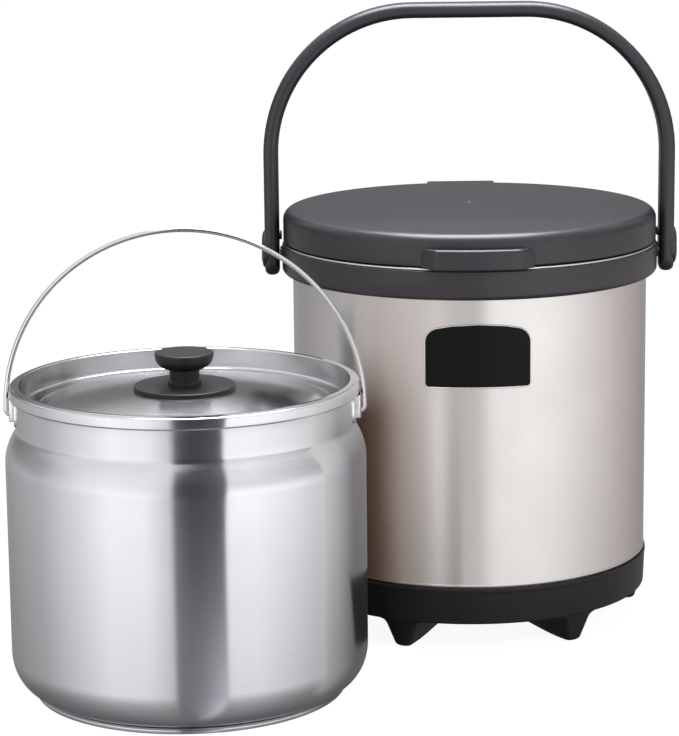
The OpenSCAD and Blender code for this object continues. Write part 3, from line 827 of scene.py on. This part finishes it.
def make_materials():
    return {
        "charcoal_plastic": plastic("charcoal_plastic", (0.021, 0.019, 0.0245), 0.34),
        # A darker copy of the charcoal plastic for the base: painted shade, darker low down by the table
        "shaded_base_plastic": plastic("shaded_base_plastic", (0.015, 0.013, 0.016), 0.4, shine=0.2),
        "black_plastic": plastic("black_plastic", (0.016, 0.0145, 0.016), 0.36, shine=0.38),
        "liner_plastic": plastic("liner_plastic", (0.14, 0.14, 0.15), 0.42),
        # The steels' own grey, with painted reflection tints: warm in body_steel, cool in pot_steel and
        # lid_steel, for the surroundings they mirror
        "body_steel": steel("body_steel", (0.63, 0.61, 0.60), 0.27, 0.6, depth=0.004, variation=0.006),
        "inner_steel": steel("inner_steel", (0.70, 0.70, 0.69), 0.3, 0.2, depth=0.03),
        "pot_steel": steel("pot_steel", (0.68, 0.685, 0.72), 0.215, 0.88),
        "lid_steel": steel("lid_steel", (0.64, 0.64, 0.66), 0.2, 0.7, depth=0.02),
        "wire_steel": bright_steel("wire_steel", (0.68, 0.68, 0.69), 0.09),
        "pin_steel": bright_steel("pin_steel", (0.55, 0.55, 0.55), 0.3),
        "badge_black": plastic("badge_black", (0.006, 0.006, 0.007), 0.35, shine=0.1, grain=0.05),
        "foil": bright_steel("foil", (0.75, 0.47, 0.31), 0.28, scale=300),
        "foam": foam("foam", (0.85, 0.82, 0.74)),
        "soft_ring": plastic("soft_ring", (0.05, 0.05, 0.05), 0.7, grain=0.5),
    }


# Shapes

ROUND_STEPS = 6
FINE_STEPS = 10
LATHE_STEPS = 256
PEG_STEPS = 64
BEVEL_STEPS = 3
OUTLINE_STEP = 2.0
CORNER_SHARE = 0.49
LEAST = 0.01
WELD = 0.0001
SHARP_ANGLE = math.radians(38)

# Turns a drawing in X and Y, extruded along Z, into one in Y and Z, extruded along X
SIDEWAYS = Matrix(((0, 0, 1, 0), (1, 0, 0, 0), (0, 1, 0, 0), (0, 0, 0, 1)))
MIRROR_X = Matrix.Diagonal((-1, 1, 1, 1))


def rounded(corners, closed=True, steps=ROUND_STEPS):
    """An outline whose corners (x, y, radius) are rounded; a corner without a radius stays sharp."""
    points = []
    last = len(corners) - 1
    for i, (x, y, *radius) in enumerate(corners):
        at = Vector((x, y))
        if not radius or (not closed and i in (0, last)):
            points.append(at)
            continue
        back = Vector(corners[i - 1][:2]) - at
        ahead = Vector(corners[(i + 1) % len(corners)][:2]) - at
        half = back.angle(ahead) / 2
        reach = min(radius[0] / math.tan(half), CORNER_SHARE * back.length, CORNER_SHARE * ahead.length)
        back.normalize()
        ahead.normalize()
        centre = at + (back + ahead).normalized() * reach / math.cos(half)
        start, end = at + reach * back - centre, at + reach * ahead - centre
        turn = math.pi - 2 * half
        for k in range(steps + 1):
            a = turn * k / steps
            points.append(centre + (start * math.sin(turn - a) + end * math.sin(a)) / math.sin(turn))
    return points


def arc(x, y, r, start, end, steps):
    """Points of an arc, its angles in degrees from the x axis."""
    angles = [math.radians(start + (end - start) * k / steps) for k in range(steps + 1)]
    return [Vector((x + r * math.cos(a), y + r * math.sin(a))) for a in angles]


def divided(outline, step):
    """A closed outline with points added so that none are further apart than step."""
    points = []
    for i, at in enumerate(outline):
        ahead = outline[(i + 1) % len(outline)]
        count = max(1, math.ceil((ahead - at).length / step))
        points += [at.lerp(ahead, k / count) for k in range(count)]
    return points


class Shape:
    """The mesh of one piece in millimetres, gathered part by part."""

    def __init__(self):
        self.mesh = bmesh.new()

    def rings(self, rings, wrap=False):
        """A skin over closed rings of points, capped at both ends unless it wraps round."""
        rows = [[self.mesh.verts.new(p) for p in ring] for ring in rings]
        pairs = list(zip(rows, rows[1:])) + ([(rows[-1], rows[0])] if wrap else [])
        for low, high in pairs:
            for i in range(len(low)):
                self.mesh.faces.new((low[i - 1], low[i], high[i], high[i - 1]))
        if not wrap:
            self.mesh.faces.new(rows[0])
            self.mesh.faces.new(rows[-1])

    def lathe(self, outline, place=Matrix.Identity(4), steps=LATHE_STEPS):
        """A closed outline of (radius, height) turned about Z and set in place."""
        turns = [2 * math.pi * i / steps for i in range(steps)]
        self.rings([[place @ Vector((r * math.cos(a), r * math.sin(a), z)) for a in turns]
                    for r, z in outline], wrap=True)

    def prism(self, outline, low, high, edge, place=Matrix.Identity(4)):
        """An outline in X and Y carried from low to high along Z, its edges rounded, and set in place."""
        part = bmesh.new()
        bottom = [part.verts.new((x, y, low)) for x, y in outline]
        top = [part.verts.new((x, y, high)) for x, y in outline]
        part.faces.new(bottom)
        part.faces.new(top)
        for i in range(len(outline)):
            part.faces.new((bottom[i - 1], bottom[i], top[i], top[i - 1]))
        bmesh.ops.recalc_face_normals(part, faces=part.faces)
        sharp = [e for e in part.edges if e.calc_face_angle() > SHARP_ANGLE]
        bmesh.ops.bevel(part, geom=sharp, offset=edge, segments=BEVEL_STEPS, profile=0.5, affect="EDGES",
                        clamp_overlap=True)
        copies = {v: self.mesh.verts.new(place @ v.co) for v in part.verts}
        for face in part.faces:
            self.mesh.faces.new([copies[v] for v in face.verts])
        part.free()


def piece(name, shape, body, slot, *nodes, at=(0, 0, 0), finish=None):
    """Makes an object of a shape, set on its axis, that rides on a body and stands for CAD nodes.

    Its material is that of the slot, unless it has a finish of its own.
    """
    part = shape.mesh
    bmesh.ops.remove_doubles(part, verts=part.verts, dist=WELD)
    bmesh.ops.recalc_face_normals(part, faces=part.faces)
    bmesh.ops.scale(part, vec=(MM, MM, MM), verts=part.verts)
    mesh = bpy.data.meshes.new(name)
    part.to_mesh(mesh)
    part.free()
    mesh.shade_smooth()
    mesh.set_sharp_from_angle(angle=SHARP_ANGLE)
    mesh.materials.append(materials[finish or slot])
    obj = link(bpy.data.objects.new(name, mesh))
    obj.location = at
    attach(obj, body)
    if nodes:
        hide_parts(*nodes)


def peg(shape, r, x0, x1, z, edge, mirrored):
    """A round peg along X with softened ends."""
    place = Matrix.Translation((0, 0, z)) @ SIDEWAYS
    if mirrored:
        place = MIRROR_X @ place
    shape.lathe(rounded([(0, x0), (r, x0, edge), (r, x1, edge), (0, x1)]), place, PEG_STEPS)


# Container


def make_shell():
    shape = Shape()
    bead = BODY_R + BEAD_OUT
    low = BODY_Z + BEAD_UP
    high = low + BEAD_H
    inside, inside_z = BODY_R - SHELL_T, low + SHELL_T
    skirt_in, floor = SKIRT_R - SHELL_T, VESSEL_Z + SHELL_T
    shape.lathe(rounded([
        (0, VESSEL_Z), (SKIRT_R, VESSEL_Z, SKIRT_ROUND), (SKIRT_R, low), (bead, low, BEAD_ROUND),
        (bead, high, BEAD_ROUND), (BODY_R, high + BEAD_RUN, BEAD_FILLET), (BODY_R, COLLAR_TOP),
        (inside, COLLAR_TOP), (inside, inside_z), (skirt_in, inside_z), (skirt_in, floor, SKIRT_ROUND_IN),
        (0, floor),
    ]))
    piece("steel_shell", shape, "container", "body_steel", "outer_shell")


def foot_section(z):
    """Outline of a foot at a height: wider upwards, rounded where it stands and where it meets the base."""
    inset = 0
    if z < FOOT_EDGE:
        inset = FOOT_EDGE - math.sqrt(FOOT_EDGE ** 2 - (FOOT_EDGE - z) ** 2)
    climb = z - (BASE_Z - FOOT_FILLET)
    fillet = FOOT_FILLET - math.sqrt(max(0, FOOT_FILLET ** 2 - climb ** 2)) if climb > 0 else 0
    half = FOOT_W / 2 + FOOT_FLANK * z / BASE_Z + fillet - inset
    outer = PAD_OUT_R + FOOT_DRAW * z / BASE_Z - inset
    if z < FOOT_RISE:
        inner = PAD_IN_R + (FOOT_IN_R + FOOT_RISE - PAD_IN_R) * z / FOOT_RISE + inset
    else:
        inner = FOOT_IN_R + FOOT_RISE * (BASE_Z - z) / (BASE_Z - FOOT_RISE)
    loop = rounded([
        (inner, -half, FOOT_ROUND_IN), (outer, -half, FOOT_ROUND_OUT),
        (outer, half, FOOT_ROUND_OUT), (inner, half, FOOT_ROUND_IN),
    ])
    return [Vector((x - outer + math.sqrt(outer ** 2 - y ** 2), y, z)) for x, y in loop]


def make_base():
    shape = Shape()
    wall_in = SKIRT_R + BASE_FIT
    lip = BASE_R + BASE_LIP_OUT
    top = BODY_Z - BASE_GAP
    step = top - BASE_LIP_H
    floor = BASE_Z + BASE_FLOOR
    shape.lathe(rounded([
        (0, BASE_Z), (BASE_R - BASE_DRAW, BASE_Z, 1.6), (BASE_R - BASE_SETBACK, step - BASE_STEP_H, 3),
        (lip, step, 0.6), (lip, top, 0.8), (wall_in, top), (wall_in, floor), (0, floor),
    ]))
    for i in range(FOOT_COUNT):
        turn = Matrix.Rotation(math.radians(360 / FOOT_COUNT * i + FOOT_TURN), 4, "Z")
        rings = [foot_section(z) for z in FOOT_HEIGHTS]
        rings.append([p + Vector((0, 0, FOOT_SUNK)) for p in rings[-1]])
        shape.rings([[turn @ p for p in ring] for ring in rings])
    # The base takes the darker copy of the charcoal plastic, its painted shade
    piece("base_moulding", shape, "container", "charcoal_plastic", "base", finish="shaded_base_plastic")


def make_collar():
    shape = Shape()
    inner = BODY_R + COLLAR_FIT
    shape.lathe(rounded([
        (inner, COLLAR_Z + COLLAR_RISE, 0.2), (COLLAR_R, COLLAR_Z, COLLAR_ROUND), (COLLAR_R, COLLAR_TOP, 0.9),
        (inner, COLLAR_TOP),
    ], steps=FINE_STEPS))
    for mirrored in (False, True):
        peg(shape, PIVOT_BOSS_R, BODY_R + PIVOT_BOSS_ROOT, PIVOT_BOSS_X, PIVOT_Z, PIVOT_EDGE, mirrored)
    root, front, back = BODY_R + LUG_ROOT, HINGE_Y - KNUCKLE_R, HINGE_Y + KNUCKLE_R
    low, high = HINGE_Z - KNUCKLE_R, HINGE_Z + KNUCKLE_R
    lug = rounded([
        (root, low), (back, low, KNUCKLE_R), (back, high, KNUCKLE_R), (front, high, KNUCKLE_R),
        (front, HINGE_Z, LUG_EDGE), (root, HINGE_Z),
    ])
    shape.prism(lug, -LUG_W / 2, LUG_W / 2, LUG_EDGE, SIDEWAYS)
    piece("collar_moulding", shape, "container", "charcoal_plastic", "collar")


def make_lip():
    shape = Shape()
    outer = LID_R - LIP_SETBACK
    shape.lathe(rounded([
        (CAVITY_R, COLLAR_TOP), (outer, COLLAR_TOP + LIP_RISE, 0.6), (outer, LIP_TOP, 0.7),
        (CAVITY_R, LIP_TOP, 0.8),
    ]))
    piece("mouth_lip", shape, "container", "inner_steel", "mouth_ring")


def badge_top(x):
    """Height of the badge's arched upper edge over its middle."""
    return BADGE_H / 2 - x ** 2 / (2 * BADGE_ARCH)


def badge_outline():
    half, low = BADGE_W / 2, -BADGE_H / 2
    corners = [
        (-half, low, BADGE_ROUND), (half, low, BADGE_ROUND), (half, badge_top(half), BADGE_SHOULDER),
        *((x, badge_top(x)) for x in (half / 2, 0, -half / 2)), (-half, badge_top(half), BADGE_SHOULDER),
    ]
    return divided(rounded(corners, steps=FINE_STEPS), OUTLINE_STEP)


def on_body(x, z, out):
    """A point of the badge, laid on the front of the round body."""
    r = BODY_R + out
    return Vector((x, -math.sqrt(r ** 2 - x ** 2), BADGE_Z + z))


def make_badge():
    outline = badge_outline()
    field = Shape()
    field.rings([[on_body(s * x, s * z, out) for x, z in outline] for s, out in BADGE_RINGS])
    piece("badge_field", field, "container", "badge_black", "badge_plate")
    bead = Shape()
    rings = []
    for i, at in enumerate(outline):
        run = (outline[(i + 1) % len(outline)] - outline[i - 1]).normalized()
        outward = Vector((run.y, -run.x))
        ring = []
        for k in range(BADGE_BEAD_SIDES):
            a = 2 * math.pi * k / BADGE_BEAD_SIDES
            p = at + outward * (BADGE_BEAD * (math.cos(a) - 1))
            ring.append(on_body(p.x, p.y, BADGE_T - BADGE_BEAD_SUNK + BADGE_BEAD * math.sin(a)))
        rings.append(ring)
    bead.rings(rings, wrap=True)
    piece("badge_border", bead, "container", "inner_steel")


# Lid


def lid_line(t):
    """Outline of the lid from its axis over the crown to its side, moved inwards by t."""
    crown_r = LID_R - LID_ROUND
    rise = LID_TOP - LID_EDGE_Z
    dome = [Vector((crown_r * k / LID_STEPS, LID_TOP - t - rise * (k / LID_STEPS) ** 2))
            for k in range(LID_STEPS + 1)]
    return dome + arc(crown_r, LID_EDGE_Z - LID_ROUND, LID_ROUND - t, CROWN_END, 0, FINE_STEPS)


def make_lid():
    shape = Shape()
    gate = [Vector((GATE_R * k / GATE_STEPS, LID_TOP + GATE_RISE * (1 - (k / GATE_STEPS) ** 2)))
            for k in range(GATE_STEPS + 1)]
    inside, skirt = LID_R - LID_T, LID_Z + LID_SKIRT
    edge = rounded([(LID_R, skirt), (LID_R, LID_Z, 0.8), (inside, LID_Z, 0.4), (inside, skirt)], closed=False)
    shape.lathe(gate + lid_line(0)[1:] + edge + lid_line(LID_T)[::-1])
    add_tab(shape)
    add_hinge(shape)
    piece("lid_shell", shape, "lid", "charcoal_plastic", "lid_cover")


def add_tab(shape):
    """The lift tab: a bar along the lid's edge with sloped ends and a finger trough behind it."""
    half = TAB_W / 2
    root = LID_R - TAB_ROOT
    rings = []
    for k in range(TAB_STEPS + 1):
        x = half * math.sin(math.pi * (k / TAB_STEPS - 0.5))
        share = min(1, (half - abs(x)) / TAB_SLOPE)
        out = TAB_OUT * share + TAB_PROUD
        corner = max(0, abs(x) - half + TAB_CORNER)
        top = TAB_TOP - TAB_CORNER + math.sqrt(max(LEAST, TAB_CORNER ** 2 - corner ** 2))
        lip = max(out - TAB_LIP, TAB_LIP_END)
        trough = top - TAB_DIP * share - TAB_SUNK
        a = math.asin(x / (LID_R + TAB_OUT))
        section = rounded([
            (root, TAB_LOW), (LID_R + out, TAB_LOW, 1.0), (LID_R + out, top, TAB_EDGE),
            (LID_R + lip, top, 1.4), (LID_R + min(lip - TAB_DIP_RUN, TAB_DIP_OUT), trough, 1), (root, trough),
        ])
        rings.append([Vector((r * math.sin(a), -r * math.cos(a), z)) for r, z in section])
    shape.rings(rings)


def add_hinge(shape):
    """The hinge bracket at the lid's back: two knuckles and a bridge over the collar's lug."""
    root, top = LID_R - HINGE_ROOT, LID_EDGE_Z - HINGE_SETBACK
    front, back, low = HINGE_Y - KNUCKLE_R, HINGE_Y + KNUCKLE_R, HINGE_Z - KNUCKLE_R
    over = HINGE_Z + KNUCKLE_R + BRIDGE_UP
    slot = LUG_W / 2 + LUG_GAP
    crown = [(HINGE_Y + y, top + z, r) for y, z, r in HINGE_CROWN] + [(root, top)]
    side = rounded([
        (root, LID_Z), (front, LID_Z), (front, low, KNUCKLE_R), (back, low, KNUCKLE_R),
        (back, LID_Z, KNUCKLE_ROUND), *crown,
    ])
    bridge = rounded([(root, over), (back - BRIDGE_BACK, over, 0.6), *crown])
    shape.prism(side, slot, HINGE_W / 2, HINGE_EDGE, SIDEWAYS)
    shape.prism(side, -HINGE_W / 2, -slot, HINGE_EDGE, SIDEWAYS)
    shape.prism(bridge, -slot - BRIDGE_LAP, slot + BRIDGE_LAP, BRIDGE_EDGE, SIDEWAYS)


# Carry handle


def bow_path():
    """Points of the bow's middle line from the right arm's end to the left one's.

    Each is a place, the direction outwards from there and the distance from the arm's end.
    """
    mid_x = ARM_X + BOW_T / 2
    low = PIVOT_Z - ARM_BELOW
    corner = BOW_CORNER - BOW_T / 2
    turn_x, turn_z = ARM_X + BOW_T - BOW_CORNER, BOW_TOP - BOW_CORNER
    half = []
    for d in ARM_STATIONS:
        half.append((Vector((mid_x, low + d)), Vector((1, 0)), d))
    for k in range(BOW_CORNER_STEPS + 1):
        a = math.radians(90 * k / BOW_CORNER_STEPS)
        out = Vector((math.cos(a), math.sin(a)))
        half.append((Vector((turn_x, turn_z)) + corner * out, out, FAR_FROM_END))
    for k in range(1, BOW_TOP_STEPS):
        at = Vector((turn_x * (1 - k / BOW_TOP_STEPS), turn_z + corner))
        half.append((at, Vector((0, 1)), FAR_FROM_END))
    mirror = [(Vector((-p.x, p.y)), Vector((-o.x, o.y)), d) for p, o, d in reversed(half)]
    return half + [(Vector((0, turn_z + corner)), Vector((0, 1)), FAR_FROM_END)] + mirror


def bow_section(d):
    """Half depth and half thickness of the bow at a distance from an arm's end."""
    deep = BOW_DEPTH / 2
    thick = BOW_T / 2
    if d < deep:
        deep = max(BOW_END_DEPTH, math.sqrt(deep ** 2 - (deep - d) ** 2))
    if d < BOW_EDGE:
        thick += math.sqrt(BOW_EDGE ** 2 - (BOW_EDGE - d) ** 2) - BOW_EDGE
    return deep, thick


def stadium(r, rise):
    """An upright oval outline in Y and Z about the pivot."""
    return arc(0, rise, r, 0, 180, BOSS_STEPS) + arc(0, 0, r, 180, 360, BOSS_STEPS)


def make_handle():
    shape = Shape()
    rings = []
    for at, out, d in bow_path():
        deep, thick = bow_section(d)
        edge = min(BOW_EDGE, deep * BOW_EDGE_SHARE, thick * BOW_EDGE_SHARE)
        section = rounded([
            (-thick, -deep, edge), (thick, -deep, edge), (thick, deep, edge), (-thick, deep, edge),
        ])
        rings.append([Vector((at.x + out.x * n, y, at.y + out.y * n)) for n, y in section])
    shape.rings(rings)
    face = ARM_X + BOW_T
    for side in (1, -1):
        shape.rings([[Vector((side * (face + out), y, PIVOT_Z + z))
                      for y, z in stadium(BOW_DEPTH / 2 - inset, BOSS_RISE)] for inset, out in BOSS_RINGS])
        peg(shape, NUB_R, LID_R + NUB_GAP, ARM_X + NUB_ROOT, PIVOT_Z + NUB_UP, NUB_EDGE, side < 0)
    piece("carry_bow", shape, "handle", "charcoal_plastic", "carry_handle")
    caps = Shape()
    for mirrored in (False, True):
        peg(caps, CAP_R, face + CAP_SUNK, face + BOSS_OUT + CAP_PROUD, PIVOT_Z, PIVOT_EDGE, mirrored)
    piece("pivot_caps", caps, "handle", "charcoal_plastic", "handle_caps")


# Pot


def pot_line(t):
    """Outline of the pot from the middle of its floor up to its neck, moved inwards by t."""
    floor = [Vector((0, POT_DISC_T + t))]
    tall = (POT_CORNER_H - t) / (POT_CORNER - t)
    for at in arc(POT_R - POT_CORNER, 0, POT_CORNER - t, -90, 0, POT_CORNER_STEPS):
        floor.append(Vector((at.x, POT_DISC_T + POT_CORNER_H + at.y * tall)))
    steps = SHOULDER_STEPS
    rise = NECK_Z - SHOULDER_Z
    shoulder = [Vector((POT_R - t - (POT_R - NECK_R) * (k / steps) ** 2, SHOULDER_Z + rise * k / steps))
                for k in range(steps - 2)]
    neck = NECK_R - t
    crease = rounded([shoulder[-1], (neck, NECK_Z, CREASE_R), (neck, NECK_Z + CREASE_H)], closed=False)
    return floor + shoulder + crease[1:]


def make_pot():
    shape = Shape()
    root, under, inside = RIM_Z - RIM_ROOT, RIM_Z - RIM_SUNK, NECK_R - POT_T
    rim = rounded([
        (NECK_R, root), (NECK_R, under, 0.5), (RIM_R - RIM_DRAW, under, 0.4),
        (RIM_R, RIM_Z + RIM_DRAW_H, 0.5), (RIM_R, POT_H, 1.1), (inside, POT_H, 0.5), (inside, root),
    ], closed=False)
    shape.lathe(pot_line(0) + rim + pot_line(POT_T)[::-1])
    piece("pot_shell", shape, "pot", "pot_steel", "pot_body", at=pot_at)
    disc = Shape()
    disc.lathe(rounded([
        (0, 0), (POT_DISC_R - POT_DISC_DRAW, 0, 1.4), (POT_DISC_R, POT_DISC_SIDE, 0.8),
        (POT_DISC_R - POT_DISC_BACK, POT_DISC_EDGE, 0.4), (POT_R - POT_CORNER, POT_DISC_T), (0, POT_DISC_T),
    ]))
    piece("pot_heat_disc", disc, "pot", "pot_steel", "pot_base_disc", at=pot_at)


# Side, piece and CAD node of each bracket
BRACKETS = [(1, "bracket_box_right", "bail_bracket_right"), (-1, "bracket_box_left", "bail_bracket_left")]


def make_brackets():
    back_r = NECK_R + BRACKET_T
    mid_z = BRACKET_Z + BRACKET_H / 2
    wide, low, high = PLATE_W / 2, -PLATE_H / 2, PLATE_H / 2 - PLATE_TRIM
    plate = divided(rounded([
        (-wide, low, PLATE_ROUND), (wide, low, PLATE_ROUND),
        (wide, high, PLATE_ROUND), (-wide, high, PLATE_ROUND),
    ]), OUTLINE_STEP)
    half = BRACKET_W / 2
    box = rounded([
        (NECK_R, -half), (BRACKET_X, -half, BRACKET_ROUND), (BRACKET_X, half, BRACKET_ROUND), (NECK_R, half),
    ])
    face, flank = BRACKET_X - PLUG_SETBACK, half - PLUG_WALL
    plug = rounded([(back_r, -flank), (face, -flank, 1), (face, flank, 1), (back_r, flank)])
    plugs = Shape()
    for side, name, node in BRACKETS:
        place = Matrix.Diagonal((side, 1, 1, 1))
        shape = Shape()
        shape.rings([[place @ Vector((math.sqrt((NECK_R + out) ** 2 - (s * y) ** 2), s * y, mid_z + s * z))
                      for y, z in plate] for s, out in PLATE_RINGS])
        shape.prism(box, BRACKET_Z, BRACKET_Z + BRACKET_H, BRACKET_EDGE, place)
        piece(name, shape, "pot", "wire_steel", node, at=pot_at)
        plugs.prism(plug, BRACKET_Z + PLUG_UP, RIM_Z - PLUG_GAP, PLUG_EDGE, place)
    piece("bracket_stoppers", plugs, "pot", "black_plastic", "bracket_plugs", at=pot_at)


def make_bail():
    """The wire bail: an arch whose ends turn inwards into the brackets."""
    leg = [Vector((BAIL_END_X, BAIL_Z)), Vector((BAIL_R - BEND_R - BEND_LEAD, BAIL_Z))]
    leg += arc(BAIL_R - BEND_R, BAIL_Z + BEND_R, BEND_R, -90, 0, BEND_STEPS)
    arch = arc(0, BAIL_Z + BEND_R, BAIL_R, 0, 180, ARCH_STEPS)[1:-1]
    path = leg + arch + [Vector((-p.x, p.y)) for p in reversed(leg)]
    rings = []
    for i, at in enumerate(path):
        run = (path[min(i + 1, len(path) - 1)] - path[max(i - 1, 0)]).normalized()
        out = Vector((run.y, -run.x))
        ring = []
        for k in range(WIRE_SIDES):
            a = 2 * math.pi * k / WIRE_SIDES
            n = WIRE_R * math.cos(a)
            ring.append(Vector((at.x + out.x * n, WIRE_R * math.sin(a), at.y + out.y * n)))
        rings.append(ring)
    shape = Shape()
    shape.rings(rings)
    piece("bail_wire", shape, "bail", "wire_steel", "pot_bail", at=pot_at)


def pot_lid_line(t):
    """Upper outline of the pot lid from its axis to its flange.

    It is moved down by t, and outwards by t at the groove's wall.
    """
    seat = KNOB_DISC_R + SEAT_MARGIN
    drop = MIDDLE_Z - MIDDLE_EDGE_Z
    dome = [Vector((0, MIDDLE_Z - t))]
    for k in range(MIDDLE_STEPS + 1):
        r = seat + (MIDDLE_R - seat) * k / MIDDLE_STEPS
        dome.append(Vector((r, MIDDLE_Z - t - drop * (r ** 2 - seat ** 2) / (MIDDLE_R ** 2 - seat ** 2))))
    wall, low, top = DISH_R - POT_T + t, GROOVE_Z - t, POT_H + POT_T - t
    groove = rounded([
        dome[-1], (DISH_R - GROOVE_W, low, GROOVE_ROUND), (wall, low, GROOVE_ROUND), (wall, top, 1.0),
        (FLANGE_R, top),
    ], closed=False, steps=GROOVE_STEPS)
    return dome[:-1] + groove


def make_pot_lid():
    shape = Shape()
    shape.lathe(pot_lid_line(0) + pot_lid_line(POT_T)[::-1])
    piece("pot_lid_sheet", shape, "pot_cover", "pot_steel", "pot_lid", at=pot_at, finish="lid_steel")


def make_knob():
    disc = Shape()
    seat = MIDDLE_Z - KNOB_DISC_SUNK
    disc.lathe(rounded([
        (0, seat), (KNOB_DISC_R, seat, 0.6), (KNOB_DISC_R, KNOB_Z - KNOB_DISC_DROP, 0.9),
        (KNOB_DISC_CROWN_R, KNOB_Z + KNOB_DISC_CROWN, 4), (0, KNOB_Z),
    ]))
    piece("knob_plate", disc, "pot_cover", "black_plastic", "knob_disc", at=pot_at)
    low, step_r, step_z = KNOB_Z - KNOB_SUNK, KNOB_NECK_R + KNOB_STEP_OUT, KNOB_Z + KNOB_STEP_H
    rim_z = KNOB_TOP - KNOB_RIM_H
    foot = rounded([
        (0, low), (step_r, low), (step_r, step_z, 0.7),
        (KNOB_NECK_R - KNOB_NECK_DRAW, step_z + KNOB_STEP_RUN, 0.6),
        (KNOB_NECK_R, rim_z - KNOB_BOWL_H - KNOB_BOWL_LEAD),
    ], closed=False)
    bowl = []
    for k in range(1, KNOB_BOWL_STEPS + 1):
        a = math.radians(90 * k / KNOB_BOWL_STEPS)
        r = KNOB_NECK_R + (KNOB_R - KNOB_NECK_R) * math.sin(a)
        bowl.append(Vector((r, rim_z - KNOB_BOWL_H * math.cos(a))))
    top = rounded([
        (KNOB_R, rim_z + KNOB_RIM_LEAD), (KNOB_R, KNOB_TOP, 1.1),
        (KNOB_R - KNOB_RIM_W, KNOB_TOP - KNOB_RIM_DROP, 6), (0, KNOB_TOP - KNOB_HOLLOW),
    ], closed=False)
    knob = Shape()
    knob.lathe(foot + bowl + top, steps=KNOB_STEPS)
    piece("knob_head", knob, "pot_cover", "black_plastic", "knob", at=pot_at)


for leftover in list(bpy.data.objects):
    bpy.data.objects.remove(leftover)
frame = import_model()
bpy.context.scene.view_settings.view_transform = "Standard"

make_camera()
make_world()
make_floor()
make_studio()
make_flag()
make_gap_cards()
make_soft_box()
make_lights()

# Each CAD node takes the material of its slot
materials = make_materials()
for row in frame["record"]["subparts"]:
    mesh = frame["nodes"][row["node"]].data
    mesh.materials.clear()
    mesh.materials.append(materials[row["material_slot"]])

# The pot's axis in the frame
pot_low, pot_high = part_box("pot_body")
pot_at = ((pot_low[0] + pot_high[0]) / 2, (pot_low[1] + pot_high[1]) / 2, 0)

make_shell()
make_base()
make_collar()
make_lip()
make_badge()
make_lid()
make_handle()
make_pot()
make_brackets()
make_bail()
make_pot_lid()
make_knob()
